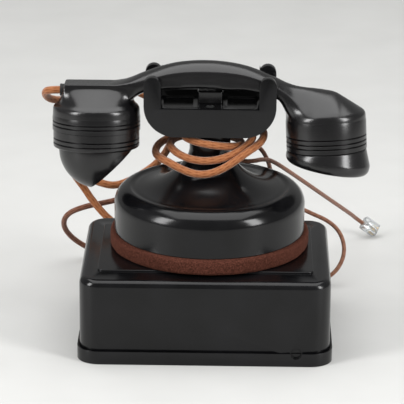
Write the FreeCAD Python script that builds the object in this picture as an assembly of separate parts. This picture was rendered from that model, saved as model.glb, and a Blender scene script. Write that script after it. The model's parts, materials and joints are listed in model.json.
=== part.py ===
"""Desk telephone without a dial: handset, cradle stand with felt, and the bell box below it.

Millimetres, +Z up, the front faces -Y. The origin is under the middle of the bell box.
"""
import FreeCAD, Part
import math
import os

V = FreeCAD.Vector

# Bell box: pressed cover in a shallow pan
BOX_W = 175.4
BOX_D = 137.9
BOX_H = 60.9
BOX_CORNER_R = 14.0
BOX_EDGE_R = 5.1
SHEET = 1.2
PANEL_W = 151.0
PANEL_D = 98.0
PANEL_RISE = 1.5
PANEL_CORNER_R = 4.0
PANEL_EDGE_R = 0.7
PAN_SHEET = 1.4
PAN_GAP = 0.4
PAN_LIP_H = 9.5
WALL_HOLE_R = 2.5
WALL_HOLE_INSET = 11.0
COVER_HOLE_R = 3.5
COVER_HOLE_X = 64.0
LUG_W = 10.0
LUG_T = 4.0
LUG_GAP = 1.4
CORD_HOLE_Z = 20.0
MOUNTING_HOLE_X = -40.0
LINE_HOLE_X = 52.0

# Screws and terminal strips
SCREW_R = 1.5
TAP_R = 1.6
SCREW_HEAD_R = 3.2
SCREW_HEAD_T = 2.0
STRIP_D = 14.0
STRIP_H = 9.0
STRIP_PITCH = 11.5
STRIP_END = 6.0
STRIP_SCREW_L = 4.5

# Stand: revolved shell on a thick felt ring
AXIS_X = 1.8
AXIS_Y = 11.6
STAND_R = 68.0
STAND_WALL = 3.5
STAND_WALL_H = 18.5
BEAD_IN = 11.0
BEAD_RISE = 13.6
VALLEY_DROP = 0.9
VALLEY_W = 5.0
BELL_MID_R = 13.0
BELL_MID_H = 7.4
BELL_TAPER = 2.0
BELL_RISE = 21.0
NECK_RISE = 28.0
NECK_WEB = 6.0
NECK_R = 14.5
NECK_TOP_H = 73.5
FELT_PROUD = 3.0
FELT_T = 11.1
FELT_BORE_R = 50.0
FELT_ROUND = 2.5
PLATE_T = 2.0
BOSS_R = 5.0
BOSS_PITCH_R = 56.0
HANDSET_INLET_X = -8.0
MOUNTING_OUTLET_X = 16.0

# Cradle: trough with two forks
CRADLE_W = 93.0
CRADLE_D = 40.0
CRADLE_LEDGE_H = 20.5
CRADLE_TOP_H = 43.3
CRADLE_CORNER_R = 22.5
PRONG_W = 12.0
PRONG_T = 6.0
SEAT_GAP = 0.3
TROUGH_DEPTH = 9.0
TROUGH_END = 1.5
TROUGH_CORNER_R = 4.0
REAR_RISE = 2.5
SHELF_OVER = 3.0

# Handset, in its own frame: X along the handle, Z up, origin in the middle of the grip
HANDSET_PIVOT_H = 38.0
HANDSET_LEAN = -7.0
GRIP_HALF_W = 12.4
TALK_X = -80.4
TALK_R = 30.8
TALK_TOP = -4.0
TALK_EAVE = -22.0
TALK_STEP = 3.0
TALK_END = 22.6
TALK_BAND = 3.8
TALK_SPLIT = -37.0
TALK_BOTTOM = -49.6
HEAR_X = 81.4
HEAR_R = 28.2
HEAR_TOP = -7.6
HEAR_LEAN = 2.8
HEAR_SLOPE = 40.0
HEAR_TIP_R = 18.0
HEAR_EAVE = -24.0
HEAR_EAVE_R = 1.8
HEAR_CEILING = -25.0
HEAR_BOTTOM = -49.1
GROOVE = 0.45
CUP_WALL = 3.6
HORN_R = 26.4
HORN_DEPTH = 30.0
HORN_WALL = 2.2
EAR_RIM_R = 30.0
EAR_TILT = 12.6
EAR_DROP = 7.0
EAR_RIM_T = 7.5
EAR_ROUND = 5.0
EAR_HOLLOW_R = 80.0
EAR_HOLLOW = 2.6
EAR_COLLAR_H = 5.0
GRILLE_T = 1.2
GRILLE_SEAT = 3.5
CAPSULE_RIM_H = 5.0
CAPSULE_SHOULDER_H = 9.0
CAPSULE_H = 14.0
DIAPHRAGM_T = 0.5
INSERT_CLEAR = 0.4
UNIT_RIM_H = 3.0
UNIT_SHOULDER_H = 6.0
UNIT_H = 17.0
UNIT_HOLLOW = 5.0
POLE_W = 4.0
POLE_D = 6.0
POLE_CLEAR = 0.6

# Hook switch
ROD_R = 2.5
ROD_FIT = 0.05
HEAD_L = 18.0
HEAD_D = 10.0
HOOK_TRAVEL = 5.0
ROD_CLEAR = 0.6
GUIDE_L = 6.0
GUIDE_RISE = 12.0
GUIDE_BELOW_NECK = 6.5
ROD_END_DROP = 3.0
COLLAR_T = 3.0
SPRING_WIRE_R = 0.55
SPRING_TURNS = 6
STACK_X = -26.0
STACK_L = 10.0
STACK_W = 16.0
PAD_W = 10.0
LEAF_W = 6.0
LEAF_T = 0.5
LEAF_PITCH = 2.5
LEAF_REACH = (2.0, 8.0, 6.0)
BRACKET_T = 2.0

# Ringer
GONG_X = -45.0
GONG_Y = 31.6
GONG_R = 26.0
GONG_H = 19.0
GONG_WALL = 1.6
GONG_RIM_Z = 17.0
PIVOT_X = 10.0
PIVOT_R = 1.5
STRIKE_Z = 22.0
BALL_R = 3.5
COIL_R = 11.0
COIL_L = 27.0
COIL_Y = 15.0
CORE_R = 4.0
POLE_GAP = 2.0
CORE_BARE = 3.0
POST_R = 4.0
POST_FOOT_R = 7.0
POST_FOOT_T = 2.0
FRAME_T = 2.0
FRAME_OVER = 14.0
YOKE_T = 3.0
PIN_RISE = 16.0
MAGNET_W = 12.0
MAGNET_T = 7.0
ARMATURE_T = 4.0
ARMATURE_H = 12.0
ARMATURE_OVER = 7.0
HUB_WALL = 2.5
STEM_R = 1.1
COIL_CHEEK_T = 1.5
COIL_CHEEK_OVER = 1.0

# Circuit in the box, from front to back: induction coil, then condenser
CIRCUIT_X = 66.0
CIRCUIT_FRONT = 13.95
CIRCUIT_BACK = 14.15
CIRCUIT_GAP = 0.2
CAN_W = 28.0
CAN_H = 38.0
CAN_ROUND = 2.0
STRAP_W = 10.0
STRAP_T = 1.2
STRAP_FOOT = 5.6
CHEEK = 24.0
CHEEK_T = 3.0
SPOOL_R = 10.0
SPOOL_CORE_R = 5.0
SPOOL_CORE_END = 2.0
SPOOL_SHARE = 0.465
TERMINAL_X = -12.0
TERMINAL_BACK = 8.95

# Cords
HANDSET_CORD_D = 5.5
MOUNTING_CORD_D = 4.2
LINE_CORD_D = 3.2
CORD_FIT = 0.2
BUSH_WALL = 1.2
BUSH_FLANGE = 1.4
PLUG_L = 13.0
PLUG_W = 9.7
PLUG_T = 6.6
PLUG_LIFT = 0.3

# Places that follow from the sizes above
Z_PANEL = BOX_H + PANEL_RISE
Z_STAND = Z_PANEL + FELT_T
Z_CRADLE = Z_STAND + NECK_TOP_H
Z_LEDGE = Z_CRADLE + CRADLE_LEDGE_H
Z_PIVOT = Z_CRADLE + HANDSET_PIVOT_H
AXIS = V(AXIS_X, AXIS_Y, 0)
PAN_W = BOX_W + 2 * (PAN_GAP + PAN_SHEET)
PAN_D = BOX_D + 2 * (PAN_GAP + PAN_SHEET)
BOX_BACK = BOX_D / 2
CORE_X0 = PIVOT_X + ARMATURE_T / 2 + POLE_GAP
YOKE_X = CORE_X0 + COIL_L + 2 * CORE_BARE
NODES = {}


def keep(name, *solids):
    """Store the solids of one node."""
    NODES[name] = solids[0] if len(solids) == 1 else Part.makeCompound(list(solids))


def flat(point, plane):
    """A vector from a pair of sizes in the plane xz, yz or xy."""
    a, b = point
    return {"xz": V(a, 0, b), "yz": V(0, a, b), "xy": V(a, b, 0)}[plane]


def outline(plane, start, *steps):
    """A closed face; a step is an end point, or a middle and an end point of an arc."""
    edges = []
    here = start
    for step in steps + (start,):
        middle, end = step if isinstance(step[0], tuple) else (None, step)
        if middle:
            edges.append(Part.Arc(flat(here, plane), flat(middle, plane), flat(end, plane)).toShape())
        elif math.dist(here, end) > 1e-6:
            edges.append(Part.LineSegment(flat(here, plane), flat(end, plane)).toShape())
        here = end
    return Part.Face(Part.Wire(edges))


def turned(start, *steps):
    """A solid turned about Z from a profile of radius and height."""
    return outline("xz", start, *steps).revolve(V(0, 0, 0), V(0, 0, 1), 360)


def rod(radius, length, at, along=V(0, 0, 1)):
    return Part.makeCylinder(radius, length, at, along)


def tube(outer, inner, length, at, along=V(0, 0, 1)):
    return rod(outer, length, at, along).cut(rod(inner, length, at, along))


def block(x0, x1, y0, y1, z0, z1):
    return Part.makeBox(x1 - x0, y1 - y0, z1 - z0, V(x0, y0, z0))


def upright_edges(shape):
    return [e for e in shape.Edges if abs(e.tangentAt(e.FirstParameter).z) > 0.99]


def edges_at(shape, height):
    return [e for e in shape.Edges if abs(e.BoundBox.ZMin - height) < 0.01 and abs(e.BoundBox.ZMax - height) < 0.01]


def slab(width, depth, corner, z0, z1):
    """A plate with rounded upright corners, centred on the origin."""
    box = block(-width / 2, width / 2, -depth / 2, depth / 2, z0, z1)
    return box.makeFillet(corner, upright_edges(box))


def soft_top(shape, radius, height):
    """The shape with its edges at one height rounded."""
    return shape.makeFillet(radius, edges_at(shape, height))


def on_axis(shape, height=0.0):
    """Move a shape from the stand's own axis to its place."""
    return shape.translated(AXIS + V(0, 0, height))


def on_handset(shape):
    """Move a shape from the handset's frame to where the handset leans in the cradle."""
    leaned = shape.rotated(V(0, 0, 0), V(1, 0, 0), HANDSET_LEAN)
    return leaned.translated(AXIS + V(0, 0, Z_PIVOT))


def screw(shank_l, head_r=SCREW_HEAD_R):
    """A cheese-head screw with its head's underside at the origin, shank down, and a slot."""
    body = rod(head_r, SCREW_HEAD_T, V(0, 0, 0)).fuse(rod(SCREW_R, shank_l, V(0, 0, -shank_l)))
    slot = block(-head_r, head_r, -head_r / 6, head_r / 6, SCREW_HEAD_T / 2, SCREW_HEAD_T)
    return body.cut(slot).removeSplitter()


def terminal_strip(name, count, at):
    """A moulded strip with a row of screws; its foot's near left corner is at a place."""
    top = at.z + STRIP_H
    strip = block(at.x, at.x + STRIP_PITCH * (count - 1) + 2 * STRIP_END, at.y, at.y + STRIP_D, at.z, top)
    strip = strip.makeFillet(1.0, edges_at(strip, top))
    fixings = []
    for k in range(count):
        spot = V(at.x + STRIP_END + STRIP_PITCH * k, at.y + STRIP_D / 2, top)
        strip = strip.cut(rod(TAP_R, STRIP_H, spot - V(0, 0, STRIP_SCREW_L + CORD_FIT)))
        fixings.append(screw(STRIP_SCREW_L).translated(spot))
    keep(name + "_terminal_block", strip)
    keep(name + "_terminal_screws", *fixings)


CORD_SIZES = {"handset": HANDSET_CORD_D, "mounting": MOUNTING_CORD_D, "line": LINE_CORD_D}


def bush_r(name):
    """Radius of the hole that a cord's bush goes through."""
    return CORD_SIZES[name] / 2 + CORD_FIT + BUSH_WALL + CORD_FIT


def cord_bush(name, depth, lip=BUSH_FLANGE):
    """A flanged bush along +Y; its flange starts at the origin and its sleeve goes back through a wall."""
    outer = bush_r(name) - CORD_FIT
    along = V(0, 1, 0)
    sleeve = rod(outer, depth + BUSH_FLANGE, V(0, -depth, 0), along)
    flange = Part.makeCone(outer + lip, outer + lip / 2, BUSH_FLANGE, V(0, 0, 0), along)
    return sleeve.fuse(flange).cut(rod(outer - BUSH_WALL, depth + BUSH_FLANGE, V(0, -depth, 0), along))


# Bell box

def box_pan():
    """Shallow pan with a lug at the front, tapped for the cover's screw."""
    outer_r = BOX_CORNER_R + PAN_GAP + PAN_SHEET
    pan = slab(PAN_W, PAN_D, outer_r, 0, PAN_LIP_H)
    inner = slab(PAN_W - 2 * PAN_SHEET, PAN_D - 2 * PAN_SHEET, outer_r - PAN_SHEET, PAN_SHEET, PAN_LIP_H + 1)
    lug_face = -BOX_BACK + SHEET + LUG_GAP
    lug = block(COVER_HOLE_X - LUG_W / 2, COVER_HOLE_X + LUG_W / 2, lug_face, lug_face + LUG_T,
                PAN_SHEET, PAN_LIP_H + LUG_W / 2)
    along = V(0, 1, 0)
    notch = rod(COVER_HOLE_R + PAN_GAP, 2 * LUG_T, V(COVER_HOLE_X, -PAN_D / 2 - 1, PAN_LIP_H), along)
    tapped = rod(TAP_R, 2 * LUG_T, V(COVER_HOLE_X, lug_face - 1, PAN_LIP_H), along)
    pan = pan.cut(inner).cut(notch).fuse(lug).cut(tapped)
    for x, y in wall_holes():
        pan = pan.cut(rod(WALL_HOLE_R, PAN_SHEET + 2, V(x, y, -1)))
    keep("bell_box_pan", pan.removeSplitter())
    head = screw(LUG_T + SCREW_HEAD_T, COVER_HOLE_R - SEAT_GAP).rotated(V(0, 0, 0), V(1, 0, 0), 90)
    keep("cover_screw", head.translated(V(COVER_HOLE_X, lug_face, PAN_LIP_H)))


def wall_holes():
    x = BOX_W / 2 - WALL_HOLE_INSET
    y = BOX_D / 2 - WALL_HOLE_INSET
    return [(sx * x, sy * y) for sx in (-1, 1) for sy in (-1, 1)]


def rear_cord_holes():
    """Where the mounting cord and the line cord enter the back of the box."""
    return {"mounting": V(MOUNTING_HOLE_X, BOX_BACK, CORD_HOLE_Z), "line": V(LINE_HOLE_X, BOX_BACK, CORD_HOLE_Z)}


def box_cover():
    outer = soft_top(slab(BOX_W, BOX_D, BOX_CORNER_R, PAN_SHEET, BOX_H), BOX_EDGE_R, BOX_H)
    panel = slab(PANEL_W, PANEL_D, PANEL_CORNER_R, BOX_H - SHEET, Z_PANEL)
    outer = outer.fuse(soft_top(panel, PANEL_EDGE_R, Z_PANEL))
    inner = slab(BOX_W - 2 * SHEET, BOX_D - 2 * SHEET, BOX_CORNER_R - SHEET, PAN_SHEET - 1, BOX_H - SHEET)
    inner = soft_top(inner, BOX_EDGE_R - SHEET, BOX_H - SHEET)
    pressed = slab(PANEL_W - 2 * SHEET, PANEL_D - 2 * SHEET, PANEL_CORNER_R - SHEET, BOX_H - 2, Z_PANEL - SHEET)
    cover = outer.cut(inner).cut(pressed)
    cover = cover.cut(rod(COVER_HOLE_R, 8, V(COVER_HOLE_X, -BOX_BACK - 2, PAN_LIP_H), V(0, 1, 0)))
    for name, at in rear_cord_holes().items():
        cover = cover.cut(rod(bush_r(name), 8, at - V(0, 4, 0), V(0, 1, 0)))
        keep(name + "_cord_box_bush", cord_bush(name, SHEET + 3).translated(at))
    keep("bell_box_cover", cover)


def ringer():
    """Two gongs on posts, the striker between them, and the coils that drive it."""
    floor = PAN_SHEET
    gong_top = GONG_RIM_Z + GONG_H
    inner_top = gong_top - GONG_WALL
    bend = GONG_R * 0.86
    crown = GONG_R * 0.35
    gongs, posts, screws = [], [], []
    for side in (-1, 1):
        at = V(GONG_X, side * GONG_Y, 0)
        gong = turned((SCREW_HEAD_T, gong_top), (crown, gong_top),
                      ((bend, GONG_RIM_Z + GONG_H * 0.7), (GONG_R, GONG_RIM_Z)),
                      (GONG_R - GONG_WALL, GONG_RIM_Z),
                      ((bend - GONG_WALL, GONG_RIM_Z + GONG_H * 0.66), (crown, inner_top)),
                      (SCREW_HEAD_T, inner_top))
        gongs.append(gong.translated(at))
        foot = floor + POST_FOOT_T
        post = turned((0, floor), (POST_FOOT_R, floor), (POST_FOOT_R, foot), (POST_R, foot + POST_FOOT_T),
                      (POST_R, inner_top), (0, inner_top))
        posts.append(post.cut(rod(TAP_R, 2 * POST_R, V(0, 0, inner_top - 2 * POST_R))).translated(at))
        screws.append(screw(POST_FOOT_R).translated(at + V(0, 0, gong_top)))
    keep("gong_left", gongs[0])
    keep("gong_right", gongs[1])
    keep("gong_posts", *posts)
    keep("gong_screws", *screws)
    ringer_frame(floor)
    striker()


def ringer_frame(floor):
    """Frame with its yoke, the magnet bar on top, the armature's pin, and the two coils."""
    along = V(1, 0, 0)
    pin_top = STRIKE_Z + PIN_RISE
    wide = COIL_Y + FRAME_OVER
    yoke_end = YOKE_X + YOKE_T
    frame = block(PIVOT_X - MAGNET_W / 2, yoke_end, -wide, wide, floor, floor + FRAME_T)
    frame = frame.fuse(block(YOKE_X, yoke_end, -wide + FRAME_T, wide - FRAME_T, floor, pin_top))
    frame = frame.cut(rod(PIVOT_R, 2 * FRAME_T, V(PIVOT_X, 0, floor)))
    cores, coils, cheeks = [], [], []
    for side in (-1, 1):
        at = V(CORE_X0, side * COIL_Y, STRIKE_Z)
        tail = rod(CORE_R / 2, YOKE_T, V(YOKE_X, at.y, at.z), along)
        frame = frame.cut(tail)
        cores.append(rod(CORE_R, YOKE_X - CORE_X0, at, along).fuse(tail).removeSplitter())
        start = at + along * CORE_BARE
        coils.append(tube(COIL_R, CORE_R, COIL_L - 2 * COIL_CHEEK_T, start + along * COIL_CHEEK_T, along))
        for shift in (0.0, COIL_L - COIL_CHEEK_T):
            cheeks.append(tube(COIL_R + COIL_CHEEK_OVER, CORE_R, COIL_CHEEK_T, start + along * shift, along))
    keep("ringer_frame", frame.removeSplitter())
    keep("ringer_cores", *cores)
    keep("ringer_coils", *coils)
    keep("ringer_coil_cheeks", *cheeks)
    bar = block(PIVOT_X - MAGNET_W / 2, yoke_end, -MAGNET_W / 2, MAGNET_W / 2, pin_top, pin_top + MAGNET_T)
    keep("ringer_magnet", bar.makeFillet(1.0, upright_edges(bar)))
    collar_z = floor + FRAME_T
    collar_l = STRIKE_Z - ARMATURE_H / 2 - SEAT_GAP - collar_z
    collar = rod(PIVOT_R + SHEET, collar_l, V(PIVOT_X, 0, collar_z))
    keep("armature_pin", rod(PIVOT_R, pin_top - floor, V(PIVOT_X, 0, floor)).fuse(collar).removeSplitter())


def striker():
    """The armature that rocks on its pin before the cores, and the clapper on its stem."""
    half = ARMATURE_H / 2
    reach = COIL_Y + ARMATURE_OVER
    foot = V(PIVOT_X, 0, STRIKE_Z - half)
    bar = block(PIVOT_X - ARMATURE_T / 2, PIVOT_X + ARMATURE_T / 2, -reach, reach, foot.z, STRIKE_Z + half)
    hub = rod(PIVOT_R + HUB_WALL, ARMATURE_H, foot)
    armature = bar.fuse(hub).cut(rod(PIVOT_R + ROD_FIT, ARMATURE_H, foot))
    keep("armature", armature.removeSplitter())
    middle = V(GONG_X, 0, STRIKE_Z)
    stem = rod(STEM_R, PIVOT_X - PIVOT_R - HUB_WALL - GONG_X, middle, V(1, 0, 0)).cut(hub)
    keep("clapper", Part.makeSphere(BALL_R, middle).fuse(stem).removeSplitter())


def box_circuit():
    """Induction coil, condenser under its strap, and terminal strip on the pan's floor."""
    floor = PAN_SHEET
    ends_l = 2 * (CHEEK_T + SPOOL_CORE_END + STRAP_T + STRAP_FOOT)
    spare = BOX_D - CIRCUIT_FRONT - CIRCUIT_BACK - CIRCUIT_GAP - ends_l
    spool_l = spare * SPOOL_SHARE
    can_d = spare - spool_l
    along = V(0, 1, 0)
    axis_z = floor + CHEEK / 2
    core_y = -BOX_BACK + CIRCUIT_FRONT
    core_l = spool_l + 2 * (CHEEK_T + SPOOL_CORE_END)
    spool_y = core_y + SPOOL_CORE_END
    ends = []
    for y in (spool_y, spool_y + spool_l + CHEEK_T):
        end = block(CIRCUIT_X - CHEEK / 2, CIRCUIT_X + CHEEK / 2, y, y + CHEEK_T, floor, floor + CHEEK)
        ends.append(end.cut(rod(SPOOL_CORE_R, CHEEK_T, V(CIRCUIT_X, y, axis_z), along)))
    keep("induction_coil_cheeks", *ends)
    keep("induction_coil_core", rod(SPOOL_CORE_R, core_l, V(CIRCUIT_X, core_y, axis_z), along))
    wire_at = V(CIRCUIT_X, spool_y + CHEEK_T, axis_z)
    keep("induction_coil_winding", tube(SPOOL_R, SPOOL_CORE_R, spool_l, wire_at, along))

    top = floor + CAN_H
    y0 = core_y + core_l + CIRCUIT_GAP + STRAP_FOOT + STRAP_T
    y1 = y0 + can_d
    can = block(CIRCUIT_X - CAN_W / 2, CIRCUIT_X + CAN_W / 2, y0, y1, floor, top)
    keep("condenser", can.makeFillet(CAN_ROUND, can.Edges))
    x0, x1 = CIRCUIT_X - STRAP_W / 2, CIRCUIT_X + STRAP_W / 2
    band = block(x0, x1, y0 - STRAP_T, y1 + STRAP_T, floor, top + STRAP_T).cut(block(x0, x1, y0, y1, floor, top))
    for y in (y0 - STRAP_T - STRAP_FOOT, y1 + STRAP_T):
        band = band.fuse(block(x0, x1, y, y + STRAP_FOOT, floor, floor + STRAP_T))
    keep("condenser_strap", band.removeSplitter())
    terminal_strip("box", 5, V(TERMINAL_X, BOX_BACK - TERMINAL_BACK - STRIP_D, floor))


# Stand

def stand_profile():
    """Heights of the shell's profile above its foot, shared by the shell and what sits in it."""
    bead_r = STAND_R - BEAD_IN
    bead_top = STAND_WALL_H + BEAD_RISE
    return bead_r, bead_top


def stand_shell():
    """Drum, rounded bead, shallow valley and a bell that runs up into the neck."""
    bead_r, bead_top = stand_profile()
    slant = math.sqrt(0.5)
    bead_mid = (bead_r + BEAD_IN * slant, STAND_WALL_H + BEAD_RISE * slant)
    valley_r = bead_r - VALLEY_W
    bell_r = NECK_R + BELL_TAPER
    outer = turned((0, 0), (STAND_R, 0), (STAND_R, STAND_WALL_H), (bead_mid, (bead_r, bead_top)),
                   ((bead_r - VALLEY_W / 2, bead_top - VALLEY_DROP), (valley_r, bead_top - VALLEY_DROP * 0.6)),
                   ((bell_r + BELL_MID_R, bead_top + BELL_MID_H), (bell_r, bead_top + BELL_RISE)),
                   (NECK_R, bead_top + NECK_RISE), (NECK_R, NECK_TOP_H), (0, NECK_TOP_H))
    inner_r = STAND_R - STAND_WALL
    inner_top = bead_top - STAND_WALL
    web = NECK_TOP_H - NECK_WEB
    inside_mid = (bead_mid[0] - STAND_WALL * slant, bead_mid[1] - STAND_WALL * slant)
    bell_mid = (bell_r + BELL_MID_R - BELL_TAPER, bead_top + BELL_MID_H / 2)
    inner = turned((0, 0), (inner_r, 0), (inner_r, STAND_WALL_H),
                   (inside_mid, (bead_r, inner_top)), (valley_r - BELL_TAPER, inner_top - VALLEY_DROP),
                   (bell_mid, (guide_r(), bead_top + GUIDE_RISE)),
                   (guide_r(), web), (ROD_R + ROD_CLEAR, web), (ROD_R + ROD_CLEAR, NECK_TOP_H), (0, NECK_TOP_H))
    shell = outer.cut(inner)
    for at in boss_places():
        boss = rod(BOSS_R, inner_top - PLATE_T, at + V(0, 0, PLATE_T))
        shell = shell.fuse(boss).cut(rod(TAP_R, 2 * NECK_WEB, at + V(0, 0, PLATE_T)))
    for side in (-1, 1):
        shell = shell.cut(rod(TAP_R, 2 * NECK_WEB, V(0, side * cradle_screw_y(), NECK_TOP_H - 1.5 * NECK_WEB)))
    for name, at in stand_cord_holes().items():
        reach = V(0, 2 * STAND_WALL, 0)
        shell = shell.cut(rod(bush_r(name), 4 * STAND_WALL, at - reach, V(0, 1, 0)))
        face = shell_back(at.x, bush_r(name)) + CORD_FIT
        bush = cord_bush(name, 2 * STAND_WALL).translated(V(at.x, face, at.z))
        keep(name + "_cord_stand_bush", on_axis(bush, Z_STAND))
    keep("stand_shell", on_axis(shell.removeSplitter(), Z_STAND))


def shell_back(x, radius):
    """The furthest back that the shell's wall reaches around a hole."""
    near = max(0.0, abs(x) - radius)
    return math.sqrt(STAND_R ** 2 - near ** 2)


def guide_r():
    return NECK_R - GUIDE_BELOW_NECK


def cradle_screw_y():
    return NECK_R - 3.0


def boss_places():
    return [V(BOSS_PITCH_R * math.cos(a), BOSS_PITCH_R * math.sin(a), 0)
            for a in (math.radians(30), math.radians(150), math.radians(270))]


def stand_cord_holes():
    """Centres of the cord holes in the shell's back, from the stand's axis and foot."""
    height = STAND_WALL_H * 0.57
    return {"handset": V(HANDSET_INLET_X, STAND_R, height), "mounting": V(MOUNTING_OUTLET_X, STAND_R, height)}


def stand_foot():
    felt_r = STAND_R + FELT_PROUD
    felt = turned((FELT_BORE_R, 0), (felt_r - FELT_ROUND, 0),
                  ((felt_r - FELT_ROUND * 0.29, FELT_ROUND * 0.29), (felt_r, FELT_ROUND)),
                  (felt_r, FELT_T - FELT_ROUND),
                  ((felt_r - FELT_ROUND * 0.29, FELT_T - FELT_ROUND * 0.29), (felt_r - FELT_ROUND, FELT_T)),
                  (FELT_BORE_R, FELT_T))
    keep("stand_felt", on_axis(felt, Z_PANEL))
    plate = rod(STAND_R - STAND_WALL - SEAT_GAP, PLATE_T, V(0, 0, 0))
    sunk_r = SCREW_HEAD_R - CORD_FIT
    fixings = []
    for at in boss_places():
        plate = plate.cut(Part.makeCone(SCREW_HEAD_R, TAP_R, PLATE_T, at))
        head = Part.makeCone(sunk_r, SCREW_R, PLATE_T, at).fuse(rod(SCREW_R, 1.5 * NECK_WEB, at + V(0, 0, PLATE_T)))
        slot = block(at.x - sunk_r, at.x + sunk_r, at.y - LEAF_T, at.y + LEAF_T, 0, PLATE_T / 2)
        fixings.append(on_axis(head.cut(slot).removeSplitter(), Z_STAND))
    keep("stand_base_plate", on_axis(plate, Z_STAND))
    keep("base_plate_screws", *fixings)


def hook_switch():
    """Bracket, leaf springs and terminals on the base plate, and the guide bush in the neck."""
    guide_z = stand_profile()[1] + GUIDE_RISE
    bush = tube(guide_r(), ROD_R + ROD_FIT, GUIDE_L, V(0, 0, guide_z))
    keep("plunger_guide", on_axis(bush, Z_STAND))
    spring_z = guide_z + GUIDE_L
    coil_r = (ROD_R + guide_r()) / 2 - SPRING_WIRE_R
    play = ROD_FIT + SPRING_WIRE_R
    pitch = (collar_h() - spring_z - 2 * play) / SPRING_TURNS
    path = Part.makeHelix(pitch, pitch * SPRING_TURNS, coil_r)
    rise = pitch / (2 * math.pi * coil_r)
    section = Part.Wire(Part.Circle(V(coil_r, 0, 0), V(0, 1, rise), SPRING_WIRE_R).toShape())
    coil = Part.Wire(path.Edges).makePipeShell([section], True, True)
    keep("plunger_spring", on_axis(coil, Z_STAND + spring_z + play))

    leaf_z = rod_end_h() - SEAT_GAP - LEAF_T
    pad_t = LEAF_PITCH - LEAF_T
    stack_z = leaf_z - 2 * LEAF_PITCH - pad_t
    x0, x1 = STACK_X - STACK_L / 2, STACK_X + STACK_L / 2
    half = STACK_W / 2
    post = block(x0, x1, -half, half, PLATE_T, stack_z)
    foot = block(x0 - STACK_L, x1, -half, half, PLATE_T, PLATE_T + BRACKET_T)
    lip = block(x0, x1 + BRACKET_T, -half, half, stack_z - BRACKET_T, stack_z)
    keep("switch_bracket", on_axis(post.multiFuse([foot, lip]).removeSplitter(), Z_STAND))
    leaves, pads = [], []
    z = stack_z
    for reach in LEAF_REACH:
        pads.append(on_axis(block(x0, x1, -PAD_W / 2, PAD_W / 2, z, z + pad_t), Z_STAND))
        leaves.append(on_axis(block(x0, reach, -LEAF_W / 2, LEAF_W / 2, z + pad_t, z + LEAF_PITCH), Z_STAND))
        z += LEAF_PITCH
    pads.append(on_axis(block(x0, x1, -PAD_W / 2, PAD_W / 2, z, z + pad_t), Z_STAND))
    keep("contact_springs", *leaves)
    keep("contact_insulators", *pads)
    terminal_strip("stand", 3, AXIS + V(STRIP_END * 2, -2 * STRIP_D, Z_STAND + PLATE_T))


def collar_h():
    """Height of the plunger's collar, which stops under the neck's web at full lift."""
    return NECK_TOP_H - NECK_WEB - HOOK_TRAVEL - COLLAR_T - LEAF_T


def rod_end_h():
    """Height of the plunger rod's lower end above the stand's foot."""
    return stand_profile()[1] - ROD_END_DROP


def plunger():
    """Head that the handle presses, its rod down the neck, and the spring's collar."""
    head_z = NECK_TOP_H + CRADLE_LEDGE_H + SEAT_GAP
    lean = math.radians(abs(HANDSET_LEAN))
    handle = NECK_TOP_H + HANDSET_PIVOT_H + grip_low(0) * math.cos(lean) - HEAD_D / 2 * math.sin(lean)
    head_top = handle - 2 * SEAT_GAP
    body = block(-HEAD_L / 2, HEAD_L / 2, -HEAD_D / 2, HEAD_D / 2, head_z, head_top)
    body = body.makeFillet(HEAD_D / 5, upright_edges(body))
    body = body.makeFillet(HEAD_D / 8, edges_at(body, head_top))
    stem = rod(ROD_R, head_z - rod_end_h(), V(0, 0, rod_end_h()))
    collar = rod(guide_r() - ROD_CLEAR, COLLAR_T, V(0, 0, collar_h()))
    keep("hook_plunger", on_axis(body.multiFuse([stem, collar]).removeSplitter(), Z_STAND))


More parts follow.
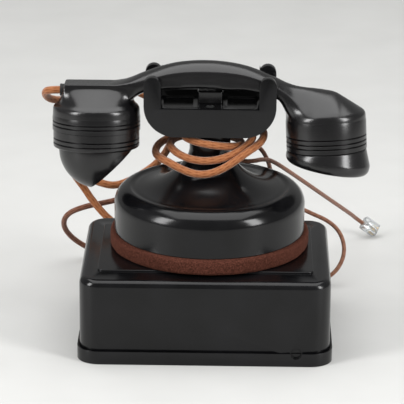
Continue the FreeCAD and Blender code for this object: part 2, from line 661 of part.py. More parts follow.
def cradle():
    half_w, half_d = CRADLE_W / 2, CRADLE_D / 2
    corner = CRADLE_CORNER_R
    tip = PRONG_W / 2
    in_x = half_w - PRONG_W
    bend = corner * (1 - math.sqrt(0.5))
    tip_z = CRADLE_TOP_H - tip
    front = outline("xz", (-half_w + corner, 0), (half_w - corner, 0),
                    ((half_w - bend, bend), (half_w, corner)), (half_w, tip_z),
                    ((half_w - tip, CRADLE_TOP_H), (in_x, tip_z)), (in_x, CRADLE_LEDGE_H),
                    (-in_x, CRADLE_LEDGE_H), (-in_x, tip_z),
                    ((-half_w + tip, CRADLE_TOP_H), (-half_w, tip_z)), (-half_w, corner),
                    ((-half_w + bend, bend), (-half_w + corner, 0)))
    body = front.extrude(V(0, CRADLE_D, 0)).translated(V(0, -half_d, 0))
    gap = half_d - PRONG_T
    lean = math.radians(abs(HANDSET_LEAN))
    drop = GRIP_HALF_W * math.sin(lean) + SEAT_GAP
    for side in (-1, 1):
        inner = HANDSET_PIVOT_H + grip_low(side * in_x) * math.cos(lean) - drop
        outer = HANDSET_PIVOT_H + grip_low(side * half_w) * math.cos(lean) - drop
        seat = outline("xz", (side * (in_x - 1), inner), (side * (half_w + 1), outer),
                       (side * (half_w + 1), CRADLE_TOP_H + 1), (side * (in_x - 1), CRADLE_TOP_H + 1))
        body = body.cut(seat.extrude(V(0, 2 * gap, 0)).translated(V(0, -gap, 0)))
    floor = CRADLE_LEDGE_H - TROUGH_DEPTH
    trough_x = in_x - TROUGH_END
    trough = block(-trough_x, trough_x, -gap, gap, floor, CRADLE_LEDGE_H + 1)
    trough = trough.makeFillet(TROUGH_CORNER_R, upright_edges(trough))
    shelf_x = HEAD_L / 2 + SHELF_OVER
    body = body.cut(trough.cut(block(-shelf_x, shelf_x, -gap, gap, floor, CRADLE_LEDGE_H)))
    body = body.fuse(block(-in_x, in_x, gap, half_d, CRADLE_LEDGE_H, CRADLE_LEDGE_H + REAR_RISE))
    body = body.cut(rod(ROD_R + ROD_CLEAR, CRADLE_LEDGE_H + 2, V(0, 0, -1)))
    fixings = []
    for side in (-1, 1):
        at = V(0, side * cradle_screw_y(), CRADLE_LEDGE_H - SCREW_HEAD_T - CORD_FIT)
        body = body.cut(rod(SCREW_HEAD_R + CORD_FIT, 2 * SCREW_HEAD_T, at))
        body = body.cut(rod(TAP_R, CRADLE_LEDGE_H, V(at.x, at.y, -1)))
        fixings.append(on_axis(screw(CRADLE_LEDGE_H + HOOK_TRAVEL).translated(at), Z_CRADLE))
    keep("cradle", on_axis(body.removeSplitter(), Z_CRADLE))
    keep("cradle_screws", *fixings)


# Handset, modelled in its own frame

# Stations of the handle: place along it, top, underside, crown, half width
GRIP = (
    (-68.0, -4.0, -24.0, 0.4, GRIP_HALF_W),
    (-58.0, -1.6, -17.2, 1.8, GRIP_HALF_W),
    (-46.0, 4.2, -10.4, 4.2, GRIP_HALF_W),
    (-24.0, 10.6, -7.8, 6.4, GRIP_HALF_W),
    (0.0, 12.2, -7.4, 7.1, GRIP_HALF_W),
    (24.0, 9.0, -8.6, 5.8, GRIP_HALF_W),
    (46.0, 0.8, -13.6, 4.6, GRIP_HALF_W),
    (55.0, -3.6, -22.0, 9.0, 15.0),
    (63.0, -5.6, -30.0, 16.4, 19.5),
    (72.0, -6.6, -32.0, 16.4, 22.0),
    (82.0, -8.0, -32.0, 16.0, 21.0),
    (90.0, -12.5, -32.0, 16.0, 16.0),
)
SOLE = 2.6


def grip_low(x):
    """Height of the handle's underside at one place along it, between its stations."""
    for (x0, _, low0, *_), (x1, _, low1, *_) in zip(GRIP, GRIP[1:]):
        if x <= x1:
            return low0 + (x - x0) / (x1 - x0) * (low1 - low0)
    return GRIP[-1][2]


def grip():
    """The handle's arched bar: a crowned top, upright sides and a rounded underside; it broadens over the receiver."""
    sections = []
    for x, top, low, crown, w in GRIP:
        eave, sole = top - crown, low + SOLE
        ring = ((-w, sole), ((0, low), (w, sole)), (w, eave), ((0, top), (-w, eave)))
        sections.append(outline("yz", *ring).OuterWire.translated(V(x, 0, 0)))
    return Part.makeLoft(sections, True, False)


def hipped_roof(low, high, radius, half_x, half_y):
    """A solid whose four sides run from a circle up to the edges of a rectangle."""
    corners = [V(sx * half_x, sy * half_y, high) for sx, sy in ((1, -1), (1, 1), (-1, 1), (-1, -1))]
    reach = radius / math.hypot(half_x, half_y)
    spots = [V(c.x * reach, c.y * reach, low) for c in corners]
    arcs = []
    faces = [Part.Face(Part.makePolygon(corners + corners[:1]))]
    for k in range(4):
        n = (k + 1) % 4
        middle = V(spots[k].x + spots[n].x, spots[k].y + spots[n].y, 0).normalize() * radius + V(0, 0, low)
        arcs.append(Part.Arc(spots[k], middle, spots[n]).toShape())
        faces.append(Part.makeRuledSurface(arcs[-1], Part.LineSegment(corners[k], corners[n]).toShape()))
    faces.append(Part.Face(Part.Wire(arcs)))
    shell = Part.makeShell(faces)
    shell.sewShape()
    solid = Part.Solid(shell)
    if solid.Volume < 0:
        solid.reverse()
    return solid


def ring_grooves(radius, heights):
    cuts = []
    for h in heights:
        cuts.append(turned((radius - GROOVE, h), (radius + 1, h - GROOVE - 1), (radius + 1, h + GROOVE + 1)))
    return cuts


def talk_head():
    """Transmitter end: a cup under a hipped, flat-topped roof, with a screw skirt for the ring."""
    skirt_r = TALK_R - CUP_WALL + 0.4
    roof_z = TALK_EAVE + TALK_BAND
    step_z = TALK_TOP - TALK_STEP
    head = turned((0, TALK_SPLIT), (TALK_R, TALK_SPLIT), (TALK_R, TALK_EAVE),
                  ((TALK_R - GROOVE / 2, TALK_EAVE + 1.2), (TALK_R - 2 * GROOVE, TALK_EAVE + 1.8)),
                  (TALK_R - TALK_BAND, roof_z), (0, roof_z))
    head = head.fuse(hipped_roof(roof_z, step_z, TALK_R - TALK_BAND, TALK_END, GRIP_HALF_W))
    head = head.fuse(block(-TALK_END, TALK_END, -GRIP_HALF_W, GRIP_HALF_W, step_z, TALK_TOP))
    skirt = rod(skirt_r, TALK_SPLIT - talk_skirt_end(), V(0, 0, talk_skirt_end()))
    for cut in ring_grooves(TALK_R, (TALK_SPLIT + 6.3, TALK_SPLIT + 3.5)):
        head = head.cut(cut)
    return head.fuse(skirt).translated(V(TALK_X, 0, 0)), skirt_r


def talk_skirt_end():
    return TALK_SPLIT - 7.0


def hear_head():
    """Receiver end: a cup under a round-tipped cone that flattens towards its rim, grooved round its lower edge."""
    slope = math.radians(HEAR_SLOPE)
    tip_r = HEAR_TIP_R * math.sin(slope)
    tip_z = HEAR_TOP - HEAR_TIP_R * (1 - math.cos(slope))
    tip_mid = (HEAR_TIP_R * math.sin(slope / 2), HEAR_TOP - HEAR_TIP_R * (1 - math.cos(slope / 2)))
    rim_r = HEAR_R - HEAR_EAVE_R
    rim_z = HEAR_EAVE + HEAR_EAVE_R
    sag_mid = ((rim_r + tip_r) / 2, (rim_z + tip_z) / 2 - HEAR_EAVE_R / 3)
    cup = turned((0, HEAR_BOTTOM), (HEAR_R, HEAR_BOTTOM), (HEAR_R, HEAR_EAVE),
                 ((HEAR_R - HEAR_EAVE_R * 0.29, rim_z - HEAR_EAVE_R * 0.35), (rim_r, rim_z)),
                 (sag_mid, (tip_r, tip_z)), (tip_mid, (0, HEAR_TOP)))
    for cut in ring_grooves(HEAR_R, (HEAR_BOTTOM + 9.8, HEAR_BOTTOM + 6.4, HEAR_BOTTOM + 3.4)):
        cup = cup.cut(cut)
    return at_ear(cup)


def at_ear(shape):
    """Move a shape from the receiver's own axis to its leaning place on the handle."""
    return shape.rotated(V(0, 0, HEAR_EAVE), V(0, 1, 0), -HEAR_LEAN).translated(V(HEAR_X, 0, 0))


def hear_bore_r():
    return HEAR_R - CUP_WALL


def handset():
    talk, skirt_r = talk_head()
    talk_bore = skirt_r - 2.4
    body = grip().fuse(talk).fuse(hear_head())
    body = body.cut(rod(talk_bore, TALK_EAVE - talk_skirt_end(), V(TALK_X, 0, talk_skirt_end())))
    body = body.cut(at_ear(rod(hear_bore_r(), HEAR_CEILING - HEAR_BOTTOM, V(0, 0, HEAR_BOTTOM))))
    body = body.cut(rod(bush_r("handset"), TALK_R, handset_exit() - V(BUSH_FLANGE, 0, 0), V(1, 0, 0)))
    keep("handset_handle", on_handset(body.removeSplitter()))
    bush = cord_bush("handset", 8.0, CORD_FIT).rotated(V(0, 0, 0), V(0, 0, 1), 90)
    keep("handset_cord_bush", on_handset(bush.translated(handset_exit() - V(CORD_FIT, 0, 0))))

    ring_r = skirt_r + 0.1
    lip_r = HORN_R + 0.25
    top = TALK_SPLIT - 0.3
    ring = turned((ring_r, top), (TALK_R - 0.3, top), (TALK_R - 0.3, TALK_BOTTOM + 1.5),
                  ((TALK_R - 0.75, TALK_BOTTOM + 0.45), (TALK_R - 1.8, TALK_BOTTOM)),
                  (lip_r, TALK_BOTTOM), (lip_r, TALK_BOTTOM + 1.2), (ring_r, TALK_BOTTOM + 1.2))
    for cut in ring_grooves(TALK_R - 0.3, (TALK_BOTTOM + 6.6, TALK_BOTTOM + 3.4)):
        ring = ring.cut(cut)
    keep("mouthpiece_ring", on_handset(ring.translated(V(TALK_X, 0, 0))))
    mouthpiece(ring_r)
    transmitter_parts(talk_bore)
    receiver_parts()


def handset_exit():
    """Middle of the cord hole in the transmitter end, in the handset's frame."""
    return V(TALK_X - TALK_END - BUSH_FLANGE, 0, TALK_TOP - bush_r("handset") - BUSH_WALL)


def mouthpiece(ring_r):
    """Bullet-shaped horn, cut off at a slant so that it opens down and inwards."""
    top = TALK_BOTTOM + 1.5
    flange_t = 2.0
    slant = math.sqrt(0.5)

    def bullet(radius, depth):
        return turned((0, TALK_BOTTOM), (radius, TALK_BOTTOM),
                      ((radius * slant, TALK_BOTTOM - depth * slant), (0.6, TALK_BOTTOM - depth)),
                      (0, TALK_BOTTOM - depth))

    horn = bullet(HORN_R, HORN_DEPTH).fuse(rod(HORN_R, top - TALK_BOTTOM, V(0, 0, TALK_BOTTOM)))
    horn = horn.fuse(rod(ring_r - 0.2, flange_t, V(0, 0, top)))
    bore = HORN_R - HORN_WALL
    horn = horn.cut(bullet(bore, HORN_DEPTH - HORN_WALL)).cut(rod(bore, 9, V(0, 0, TALK_BOTTOM)))
    edge_high = V(23.8, 0, TALK_BOTTOM - 2.8)
    edge_low = V(-3.6, 0, TALK_BOTTOM - HORN_DEPTH + 1.0)
    tilt = math.degrees(math.atan2(edge_high.z - edge_low.z, edge_high.x - edge_low.x))
    waste = block(-60, 60, -60, 60, -60, 0).rotated(V(0, 0, 0), V(0, 1, 0), -tilt).translated(edge_low)
    keep("mouthpiece", on_handset(horn.cut(waste).removeSplitter().translated(V(TALK_X, 0, 0))))


def sieve(plate, rings, hole_r, top, depth):
    """The plate drilled with rings of holes; each ring is a radius and a count."""
    for radius, count in rings:
        for k in range(count):
            a = 2 * math.pi * k / count
            plate = plate.cut(rod(hole_r, depth, V(radius * math.cos(a), radius * math.sin(a), top - depth)))
    return plate


def transmitter_parts(bore):
    flange_top = TALK_BOTTOM + GRILLE_SEAT
    grille_r = bore - INSERT_CLEAR
    grille = rod(grille_r, GRILLE_T, V(0, 0, flange_top))
    grille = sieve(grille, ((0, 1), (6, 6), (12, 10)), 1.4, flange_top + 2, 3)
    keep("transmitter_grille", on_handset(grille.translated(V(TALK_X, 0, 0))))
    base = flange_top + GRILLE_T
    top = base + CAPSULE_H
    neck_r = grille_r * 0.6
    capsule = turned((0, base), (grille_r, base), (grille_r, base + CAPSULE_RIM_H),
                     (neck_r, base + CAPSULE_SHOULDER_H), (neck_r, top), (0, top))
    keep("transmitter_capsule", on_handset(capsule.translated(V(TALK_X, 0, 0))))


def receiver_parts():
    bore = hear_bore_r()
    collar_r = bore - 0.15
    seam = HEAR_BOTTOM - 0.3
    collar_top = HEAR_BOTTOM + EAR_COLLAR_H
    level = Part.Wire(Part.Circle(V(0, 0, seam), V(0, 0, 1), HEAR_R - 0.3).toShape())
    rim = Part.Wire(Part.Circle(V(0, 0, 0), V(0, 0, 1), EAR_RIM_R).toShape())
    dish = rod(EAR_RIM_R, EAR_RIM_T, V(0, 0, -EAR_RIM_T))
    dish = dish.makeFillet(EAR_ROUND, edges_at(dish, -EAR_RIM_T))
    dish = dish.cut(Part.makeSphere(EAR_HOLLOW_R, V(0, 0, EAR_HOLLOW - EAR_RIM_T - EAR_HOLLOW_R)))
    place = V(0.9, 0, seam - EAR_DROP)
    rim = rim.rotated(V(0, 0, 0), V(0, 1, 0), EAR_TILT).translated(place)
    dish = dish.rotated(V(0, 0, 0), V(0, 1, 0), EAR_TILT).translated(place)
    cap = Part.makeLoft([level, rim], True, True).fuse(dish)
    cap = cap.fuse(tube(collar_r, collar_r - 2.5, collar_top - seam, V(0, 0, seam)))
    cap = sieve(cap, ((0, 1), (7, 6)), 1.6, collar_top, 2 * (EAR_DROP + EAR_RIM_T) + EAR_COLLAR_H)
    keep("receiver_cap", on_handset(at_ear(cap.removeSplitter())))
    unit_r = bore - INSERT_CLEAR
    disc = rod(unit_r, DIAPHRAGM_T, V(0, 0, collar_top))
    keep("receiver_diaphragm", on_handset(at_ear(disc)))
    base = collar_top + DIAPHRAGM_T
    roof = base + UNIT_HOLLOW
    top = base + UNIT_H
    unit = turned((bore * 0.7, base), (unit_r, base), (unit_r, base + UNIT_RIM_H),
                  (bore * 0.8, base + UNIT_SHOULDER_H), (bore * 0.8, top), (0, top), (0, roof), (bore * 0.7, roof))
    keep("receiver_unit", on_handset(at_ear(unit)))
    poles = [block((side - 0.5) * POLE_W, (side + 0.5) * POLE_W, -POLE_D / 2, POLE_D / 2, base + POLE_CLEAR, roof)
             for side in (-1, 1)]
    keep("receiver_poles", *[on_handset(at_ear(p)) for p in poles])


# Cords

def tangent_path(points):
    """Straight runs joined by arcs as large as each corner's two runs allow; returns edges and radii."""
    edges, radii = [], []
    here = points[0]
    for before, corner, after in zip(points, points[1:], points[2:]):
        into = (corner - before).normalize()
        out = (after - corner).normalize()
        turn = into.getAngle(out)
        reach = 0.45 * min((corner - before).Length, (after - corner).Length)
        radii.append(reach / math.tan(turn / 2))
        start, end = corner - into * reach, corner + out * reach
        inward = (out - into).normalize()
        middle = corner + inward * radii[-1] * (1 / math.cos(turn / 2) - 1)
        edges.append(Part.LineSegment(here, start).toShape())
        edges.append(Part.Arc(start, middle, end).toShape())
        here = end
    edges.append(Part.LineSegment(here, points[-1]).toShape())
    return edges, radii


def swept(edges, diameter):
    """A round tube along edges that meet tangentially."""
    path = Part.Wire(edges)
    first = path.Edges[0]
    at = first.valueAt(first.FirstParameter)
    along = first.tangentAt(first.FirstParameter)
    section = Part.Wire(Part.Circle(at, along, diameter / 2).toShape())
    return path.makePipeShell([section], True, False), path.Length


def cord(name, points, diameter):
    """A free stretch of cord as one node; its bends and its volume are printed."""
    edges, radii = tangent_path(points)
    solid, length = swept(edges, diameter)
    share = solid.Volume / (math.pi * diameter ** 2 / 4 * length)
    bends = " ".join("%.0f" % r for r in radii)
    print(name, "length %.0f, volume share %.4f, bend radii %s" % (length, share, bends))
    keep(name, solid)


def biarc(p0, t0, p1, t1):
    """Two arcs that join two points with given directions."""
    span = p1 - p0
    both = t0 + t1
    a = 2 * (1 - t0.dot(t1))
    b = 2 * span.dot(both)
    c = -span.dot(span)
    d = -c / b if a < 1e-9 else (-b + math.sqrt(b * b - 4 * a * c)) / (2 * a)
    q0, q1 = p0 + t0 * d, p1 - t1 * d
    joint = (q0 + q1) * 0.5
    arcs = []
    for start, apex, end in ((p0, q0, joint), (joint, q1, p1)):
        foot = (start + end) * 0.5
        rise = apex - foot
        half = (end - start).Length / 2
        bow = half * math.tan(math.atan2(rise.Length, half) / 2)
        arcs.append(Part.Arc(start, foot + rise.normalize() * bow, end).toShape())
    return arcs


# Winding round the neck: counted in turns from its outer end, where the tail leaves it
WIND_TURNS = 2.75
WIND_Z = 142.3
WIND_DIP = 17.3
WIND_TILT = 6.5
WIND_BACK_DROP = 6.0
WIND_SHIFT = 2.5
WIND_SIDE = 43.6
WIND_SIDE_STEP = 9.25
WIND_FRONT = 29.5
WIND_FRONT_STEP = 4.2
WIND_BACK = 40.0
WIND_BACK_STEP = 7.0


def wind(s):
    """A point of the winding, s turns in from its outer end at the back; the inner turns hang less."""
    a = 2 * math.pi * s
    front = (1 - math.cos(a)) / 2
    back = 1 - front
    side = WIND_SIDE - WIND_SIDE_STEP * s
    depth = WIND_FRONT - WIND_FRONT_STEP * s if math.cos(a) < 0 else WIND_BACK - WIND_BACK_STEP * s
    slack = 1 - (s - 0.5) / 2
    z = WIND_Z - slack * (WIND_DIP * front ** 2 - WIND_TILT * math.sin(a)) - WIND_BACK_DROP * back ** 2
    return V(AXIS_X - WIND_SHIFT * slack + side * math.sin(a), AXIS_Y + depth * math.cos(a), z)


def winding():
    """The cord's loops round the neck: one tube on biarcs, from the inmost turn out."""
    steps = int(round(WIND_TURNS * 8))
    places = [WIND_TURNS - k / 8 for k in range(steps + 1)]
    points = [wind(s) for s in places]
    ways = [(wind(s - 0.002) - wind(s + 0.002)).normalize() for s in places]
    edges = []
    for p0, t0, p1, t1 in zip(points, ways, points[1:], ways[1:]):
        edges += biarc(p0, t0, p1, t1)
    lead = points[0] - ways[0] * HANDSET_CORD_D
    tail = points[-1] + ways[-1] * HANDSET_CORD_D
    edges.insert(0, Part.LineSegment(lead, points[0]).toShape())
    edges.append(Part.LineSegment(points[-1], tail).toShape())
    solid, length = swept(edges, HANDSET_CORD_D)
    per_turn = 120
    fine = [wind(k / per_turn) for k in range(int(WIND_TURNS * per_turn) + 1)]
    half = per_turn // 2
    gap = min(p.distanceToPoint(q) for k, p in enumerate(fine) for q in fine[k + half:]) - HANDSET_CORD_D
    print("winding length %.0f, least gap to itself %.2f" % (length, gap))
    keep("handset_cord_winding", solid)
    return lead, ways[0], tail, ways[-1]


def cords():
    """The free stretches; each list runs from one end of its cord to the other."""
    lead, lead_way, tail, tail_way = winding()
    lean = math.radians(HANDSET_LEAN)
    mouth = handset_exit() + V(4.0, 0, 0)
    start = V(AXIS_X + mouth.x, AXIS_Y - mouth.z * math.sin(lean), Z_PIVOT + mouth.z * math.cos(lean))
    before, after = V(-112.5, 35.5, 160.5), V(-101.0, 50.5, 155.5)
    split = (before + after) * 0.5
    cord("handset_cord_lead", [
        start, V(-110.0, 10.5, 175.4), V(-115.2, 17.0, 172.4), V(-115.8, 26.5, 166.2), before,
        split], HANDSET_CORD_D)
    cord("handset_cord_upper", [
        split, after, V(-87.0, 55.0, 157.0), V(-72.0, 54.5, 162.0), V(-57.5, 51.0, 164.5), V(-45.0, 46.5, 161.5),
        V(-34.5, 42.5, 154.5), V(-25.5, 38.5, 146.5), V(-19.6, 32.0, 142.9), lead - lead_way * 7.0,
        lead], HANDSET_CORD_D)
    inlet = stand_inlet("handset")
    cord("handset_cord_tail", [
        tail, tail + tail_way * 9.0, V(-23.5, 55.0, 130.5), V(-27.5, 62.5, 120.5), V(-32.0, 70.5, 109.5),
        V(-38.0, 77.0, 100.0),
        V(-46.5, 81.0, 92.0), V(-58.0, 79.0, 85.5), V(-69.5, 73.5, 82.8), V(-81.0, 73.5, 85.6),
        V(-92.0, 79.5, 89.0), V(-100.5, 90.5, 88.5), V(-101.5, 103.0, 82.0), V(-95.0, 108.5, 71.0),
        V(-86.5, 106.0, 58.5), V(-74.5, 102.0, 46.0), V(-58.0, 99.5, 36.5), V(-39.5, 100.0, 32.5),
        V(-21.5, 104.5, 37.0), V(-9.5, 109.5, 49.0), V(-4.5, 111.5, 63.5), V(-4.8, 107.5, 76.0),
        inlet + V(0, 20.0, -1.0), inlet + V(0, 10.0, 0), inlet], HANDSET_CORD_D)
    outlet = stand_inlet("mounting")
    inlet = box_inlet("mounting")
    cord("mounting_cord", [
        outlet, outlet + V(0, 15.0, 0), V(15.0, 107.0, 80.5), V(2.0, 121.0, 74.5), V(-22.0, 128.0, 67.5),
        V(-48.0, 125.5, 61.0), V(-73.0, 117.5, 56.0), V(-95.5, 108.0, 54.5), V(-109.0, 115.0, 45.5),
        V(-111.5, 126.0, 31.5), V(-103.5, 137.0, 17.0), V(-88.0, 143.0, 6.0), V(-70.0, 140.0, 2.4),
        V(-54.0, 128.0, 2.4), V(-44.0, 112.0, 6.0), V(-40.0, 97.0, 15.0), inlet + V(0, 13.0, 0),
        inlet], MOUNTING_CORD_D)
    outlet = box_inlet("line")
    plug_at, plug_way = plug()
    cord("line_cord", [
        outlet, outlet + V(0, 11.0, 0), V(58.0, 90.0, 13.0), V(70.0, 92.0, 5.0), V(85.0, 89.0, 4.0),
        V(97.0, 91.0, 11.0), V(103.5, 99.0, 23.0), V(101.0, 109.0, 34.5), V(92.0, 116.0, 42.5),
        V(74.0, 117.0, 50.0), V(58.0, 110.0, 61.0), V(49.0, 96.0, 76.0), V(46.5, 81.0, 91.5),
        V(43.5, 68.5, 107.0), V(38.0, 60.0, 118.5), V(30.5, 51.0, 125.0), V(22.5, 42.0, 126.5),
        V(17.5, 33.0, 125.0), V(18.5, 23.5, 122.8), V(26.0, 18.5, 121.2), V(33.5, 24.0, 119.8),
        V(39.0, 35.5, 117.5),
        V(46.4, 50.0, 112.3), V(68.0, 92.0, 84.2), V(92.6, 143.0, 50.6), V(111.5, 187.0, 23.5),
        plug_at - plug_way * 7.0, plug_at + plug_way * 3.0], LINE_CORD_D)


def stand_inlet(name):
    """Where a cord ends inside its bush in the back of the stand."""
    hole = stand_cord_holes()[name]
    return AXIS + V(hole.x, shell_back(hole.x, bush_r(name)) - 3.0, Z_STAND + hole.z)


def box_inlet(name):
    """Where a cord ends inside its bush in the back of the box."""
    return rear_cord_holes()[name] - V(0, 2.0, 0)


def plug():
    """Clear plug with its contacts, nose down on the floor; returns where the cord enters and which way."""
    way = V(0.80, 0.10, -0.60).normalize()
    side = way.cross(V(0.35, -0.75, 0.55)).normalize()
    face = side.cross(way).normalize()
    turn = FreeCAD.Rotation(way, side, face, "XYZ")
    body = block(0, PLUG_L, -PLUG_W / 2, PLUG_W / 2, -PLUG_T / 2, PLUG_T / 2)
    body = body.makeFillet(0.5, [e for e in body.Edges if e.Length > PLUG_L - 0.1])
    mouth = rod(LINE_CORD_D / 2 + CORD_FIT, 5.0, V(-1, 0, 0), V(1, 0, 0))
    window = block(PLUG_L * 0.35, PLUG_L * 0.55, -PLUG_W * 0.3, PLUG_W * 0.3, PLUG_T / 2 - 1.2, PLUG_T / 2 + 1)
    body = body.cut(mouth).cut(window)
    contacts = []
    for k in range(4):
        y = (k - 1.5) * 1.02
        slot = block(PLUG_L - 5.6, PLUG_L + 1, y - 0.25, y + 0.25, PLUG_T / 2 - 3.6, PLUG_T / 2 + 1)
        body = body.cut(slot)
        contacts.append(block(PLUG_L - 5.4, PLUG_L - 0.6, y - 0.18, y + 0.18, PLUG_T / 2 - 3.6, PLUG_T / 2 - 0.7))
    latch = block(2.0, PLUG_L - 1.0, -1.6, 1.6, -PLUG_T / 2 - 2.6, -PLUG_T / 2 - 1.4)
    latch = latch.fuse(block(PLUG_L - 3.0, PLUG_L - 1.0, -1.6, 1.6, -PLUG_T / 2 - 2.6, -PLUG_T / 2 + 0.5))
    body = body.fuse(latch).removeSplitter()
    low = min(turn.multVec(p.Point).z for p in body.Vertexes)
    back = V(121.5, 200.5, PLUG_LIFT - low)
    move = FreeCAD.Placement(back, turn)
    for shape in [body] + contacts:
        shape.Placement = move
    keep("line_plug", body)
    keep("plug_contacts", *contacts)
    return back, way


def write_parts():
    os.makedirs("parts", exist_ok=True)
    for name, shape in NODES.items():
        shape.exportStep("parts/%s.step" % name)


def main():
    box_pan()
    box_cover()
    ringer()
    box_circuit()
    stand_shell()
    stand_foot()
    hook_switch()
    plunger()
    cradle()
    handset()
    cords()
    write_parts()
    print(len(NODES), "nodes")


main()
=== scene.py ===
"""Looks of the cradle telephone on its bell box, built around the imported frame.

Lengths are written in millimetres and turned to metres by MM.
"""
import json
import math
import bpy
from mathutils import Matrix, Vector


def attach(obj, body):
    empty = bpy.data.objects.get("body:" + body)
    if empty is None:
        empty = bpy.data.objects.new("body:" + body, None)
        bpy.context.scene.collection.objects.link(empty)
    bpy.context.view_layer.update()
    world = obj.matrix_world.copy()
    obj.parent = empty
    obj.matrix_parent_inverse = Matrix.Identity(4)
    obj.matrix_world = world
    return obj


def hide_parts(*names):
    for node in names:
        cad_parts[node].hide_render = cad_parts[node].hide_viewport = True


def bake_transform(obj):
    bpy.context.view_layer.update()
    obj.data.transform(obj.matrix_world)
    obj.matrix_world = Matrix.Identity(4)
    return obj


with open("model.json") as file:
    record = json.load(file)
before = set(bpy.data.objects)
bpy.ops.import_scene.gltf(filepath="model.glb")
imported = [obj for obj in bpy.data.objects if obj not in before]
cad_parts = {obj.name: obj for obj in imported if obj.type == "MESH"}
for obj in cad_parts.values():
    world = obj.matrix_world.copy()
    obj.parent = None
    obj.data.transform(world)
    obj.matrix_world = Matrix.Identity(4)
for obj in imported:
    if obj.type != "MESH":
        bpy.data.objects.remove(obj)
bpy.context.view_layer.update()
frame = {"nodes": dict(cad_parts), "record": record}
MM = 0.001

# Driving sizes, the same as the construction's, in millimetres
AXIS_X, AXIS_Y = 1.8, 11.6
Z_PANEL = 62.4
Z_STAND = 73.5
NECK_TOP_H = 73.5
Z_CRADLE = Z_STAND + NECK_TOP_H
Z_PIVOT = 185.0
LEAN = math.radians(-7.0)
STAND_R = 68.0
NECK_R = 14.5
FELT_R, FELT_T, FELT_BORE_R = 71.0, 11.1, 50.0
TALK_X, TALK_R, TALK_SPLIT, TALK_BOTTOM = -80.4, 30.8, -37.0, -49.6
HEAR_X, HEAR_R, HEAR_EAVE, HEAR_BOTTOM = 81.4, 28.2, -24.0, -49.1
HEAR_LEAN = math.radians(-2.8)
HANDSET_CORD_D, MOUNTING_CORD_D, LINE_CORD_D = 5.5, 4.2, 3.2

# Places of the pieces' own frames
STAND = Matrix.Translation((AXIS_X * MM, AXIS_Y * MM, Z_STAND * MM))
HANDSET = Matrix.Translation((AXIS_X * MM, AXIS_Y * MM, Z_PIVOT * MM)) @ Matrix.Rotation(LEAN, 4, "X")
AT_TALK = HANDSET @ Matrix.Translation((TALK_X * MM, 0, 0))
AT_HEAR = (HANDSET @ Matrix.Translation((HEAR_X * MM, 0, HEAR_EAVE * MM))
           @ Matrix.Rotation(HEAR_LEAN, 4, "Y") @ Matrix.Translation((0, 0, -HEAR_EAVE * MM)))


# Camera, at the photograph's viewing angle

PICTURE = 404.0
CAMERA_YAW, CAMERA_PITCH, CAMERA_ROLL = 0.88, 18.93, 0.42
CAMERA_FOCAL = 2634.6
CAMERA_DISTANCE = 1873.0
CAMERA_TARGET = (-3.43, 0.0, 96.52)
CAMERA_REACH = 20000.0
SENSOR = 36.0


def add_camera():
    """Look at the target from the measured angles; the focal length is in pixels of the photograph."""
    yaw, pitch, roll = (math.radians(a) for a in (CAMERA_YAW, CAMERA_PITCH, CAMERA_ROLL))
    back = Vector((math.sin(yaw) * math.cos(pitch), -math.cos(yaw) * math.cos(pitch), math.sin(pitch)))
    level = (-back).cross(Vector((0, 0, 1))).normalized()
    upright = level.cross(-back)
    right = level * math.cos(roll) + upright * math.sin(roll)
    up = upright * math.cos(roll) - level * math.sin(roll)
    place = (Vector(CAMERA_TARGET) + back * CAMERA_DISTANCE) * MM
    lens = bpy.data.cameras.new("camera")
    lens.sensor_width = SENSOR
    lens.lens = CAMERA_FOCAL * SENSOR / PICTURE
    lens.clip_end = CAMERA_REACH * MM
    camera = bpy.data.objects.new("camera", lens)
    turn = Matrix((right, up, back)).transposed().to_4x4()
    camera.matrix_world = Matrix.Translation(place) @ turn
    bpy.context.scene.collection.objects.link(camera)
    bpy.context.scene.camera = camera


# Materials

# The braid: threads round the cord, and the length in which they repeat
BRAID_STARTS, BRAID_REPEAT = 8.0, 11.0
METAL_SPREAD = 0.18


def linear(hex_colour):
    """An sRGB hex colour as linear red, green, blue and alpha."""
    parts = [int(hex_colour[k:k + 2], 16) / 255 for k in (1, 3, 5)]
    return [c / 12.92 if c <= 0.04045 else ((c + 0.055) / 1.055) ** 2.4 for c in parts] + [1.0]


def per(size_mm):
    """The scale of a pattern whose blotches are about size_mm across."""
    return 1.0 / (size_mm * MM)


def add_node(tree, kind, links=None, inputs=None, stops=(), **settings):
    """Add one node: its links (input to output socket), input values, colour stops and settings."""
    node = tree.nodes.new(kind)
    for name, value in settings.items():
        setattr(node, name, value)
    for name, value in (inputs or {}).items():
        node.inputs[name].default_value = value
    for name, socket in (links or {}).items():
        tree.links.new(socket, node.inputs[name])
    while stops and len(node.color_ramp.elements) < len(stops):
        node.color_ramp.elements.new(0.5)
    for k, (place, colour) in enumerate(stops):
        node.color_ramp.elements[k].position = place
        node.color_ramp.elements[k].color = linear(colour)
    return node


def new_material(name, **shader):
    """A material with one Principled shader and its place on the piece; shader gives socket values."""
    material = bpy.data.materials.new(name)
    material.use_nodes = True
    tree = material.node_tree
    principled = tree.nodes["Principled BSDF"]
    for socket, value in shader.items():
        principled.inputs[socket.replace("_", " ")].default_value = value
    coords = add_node(tree, "ShaderNodeTexCoord")
    return material, tree, principled, {"Vector": coords.outputs["Object"]}


def feed(tree, shader, **sockets):
    """Link output sockets to the shader's inputs."""
    for name, socket in sockets.items():
        tree.links.new(socket, shader.inputs[name.replace("_", " ")])


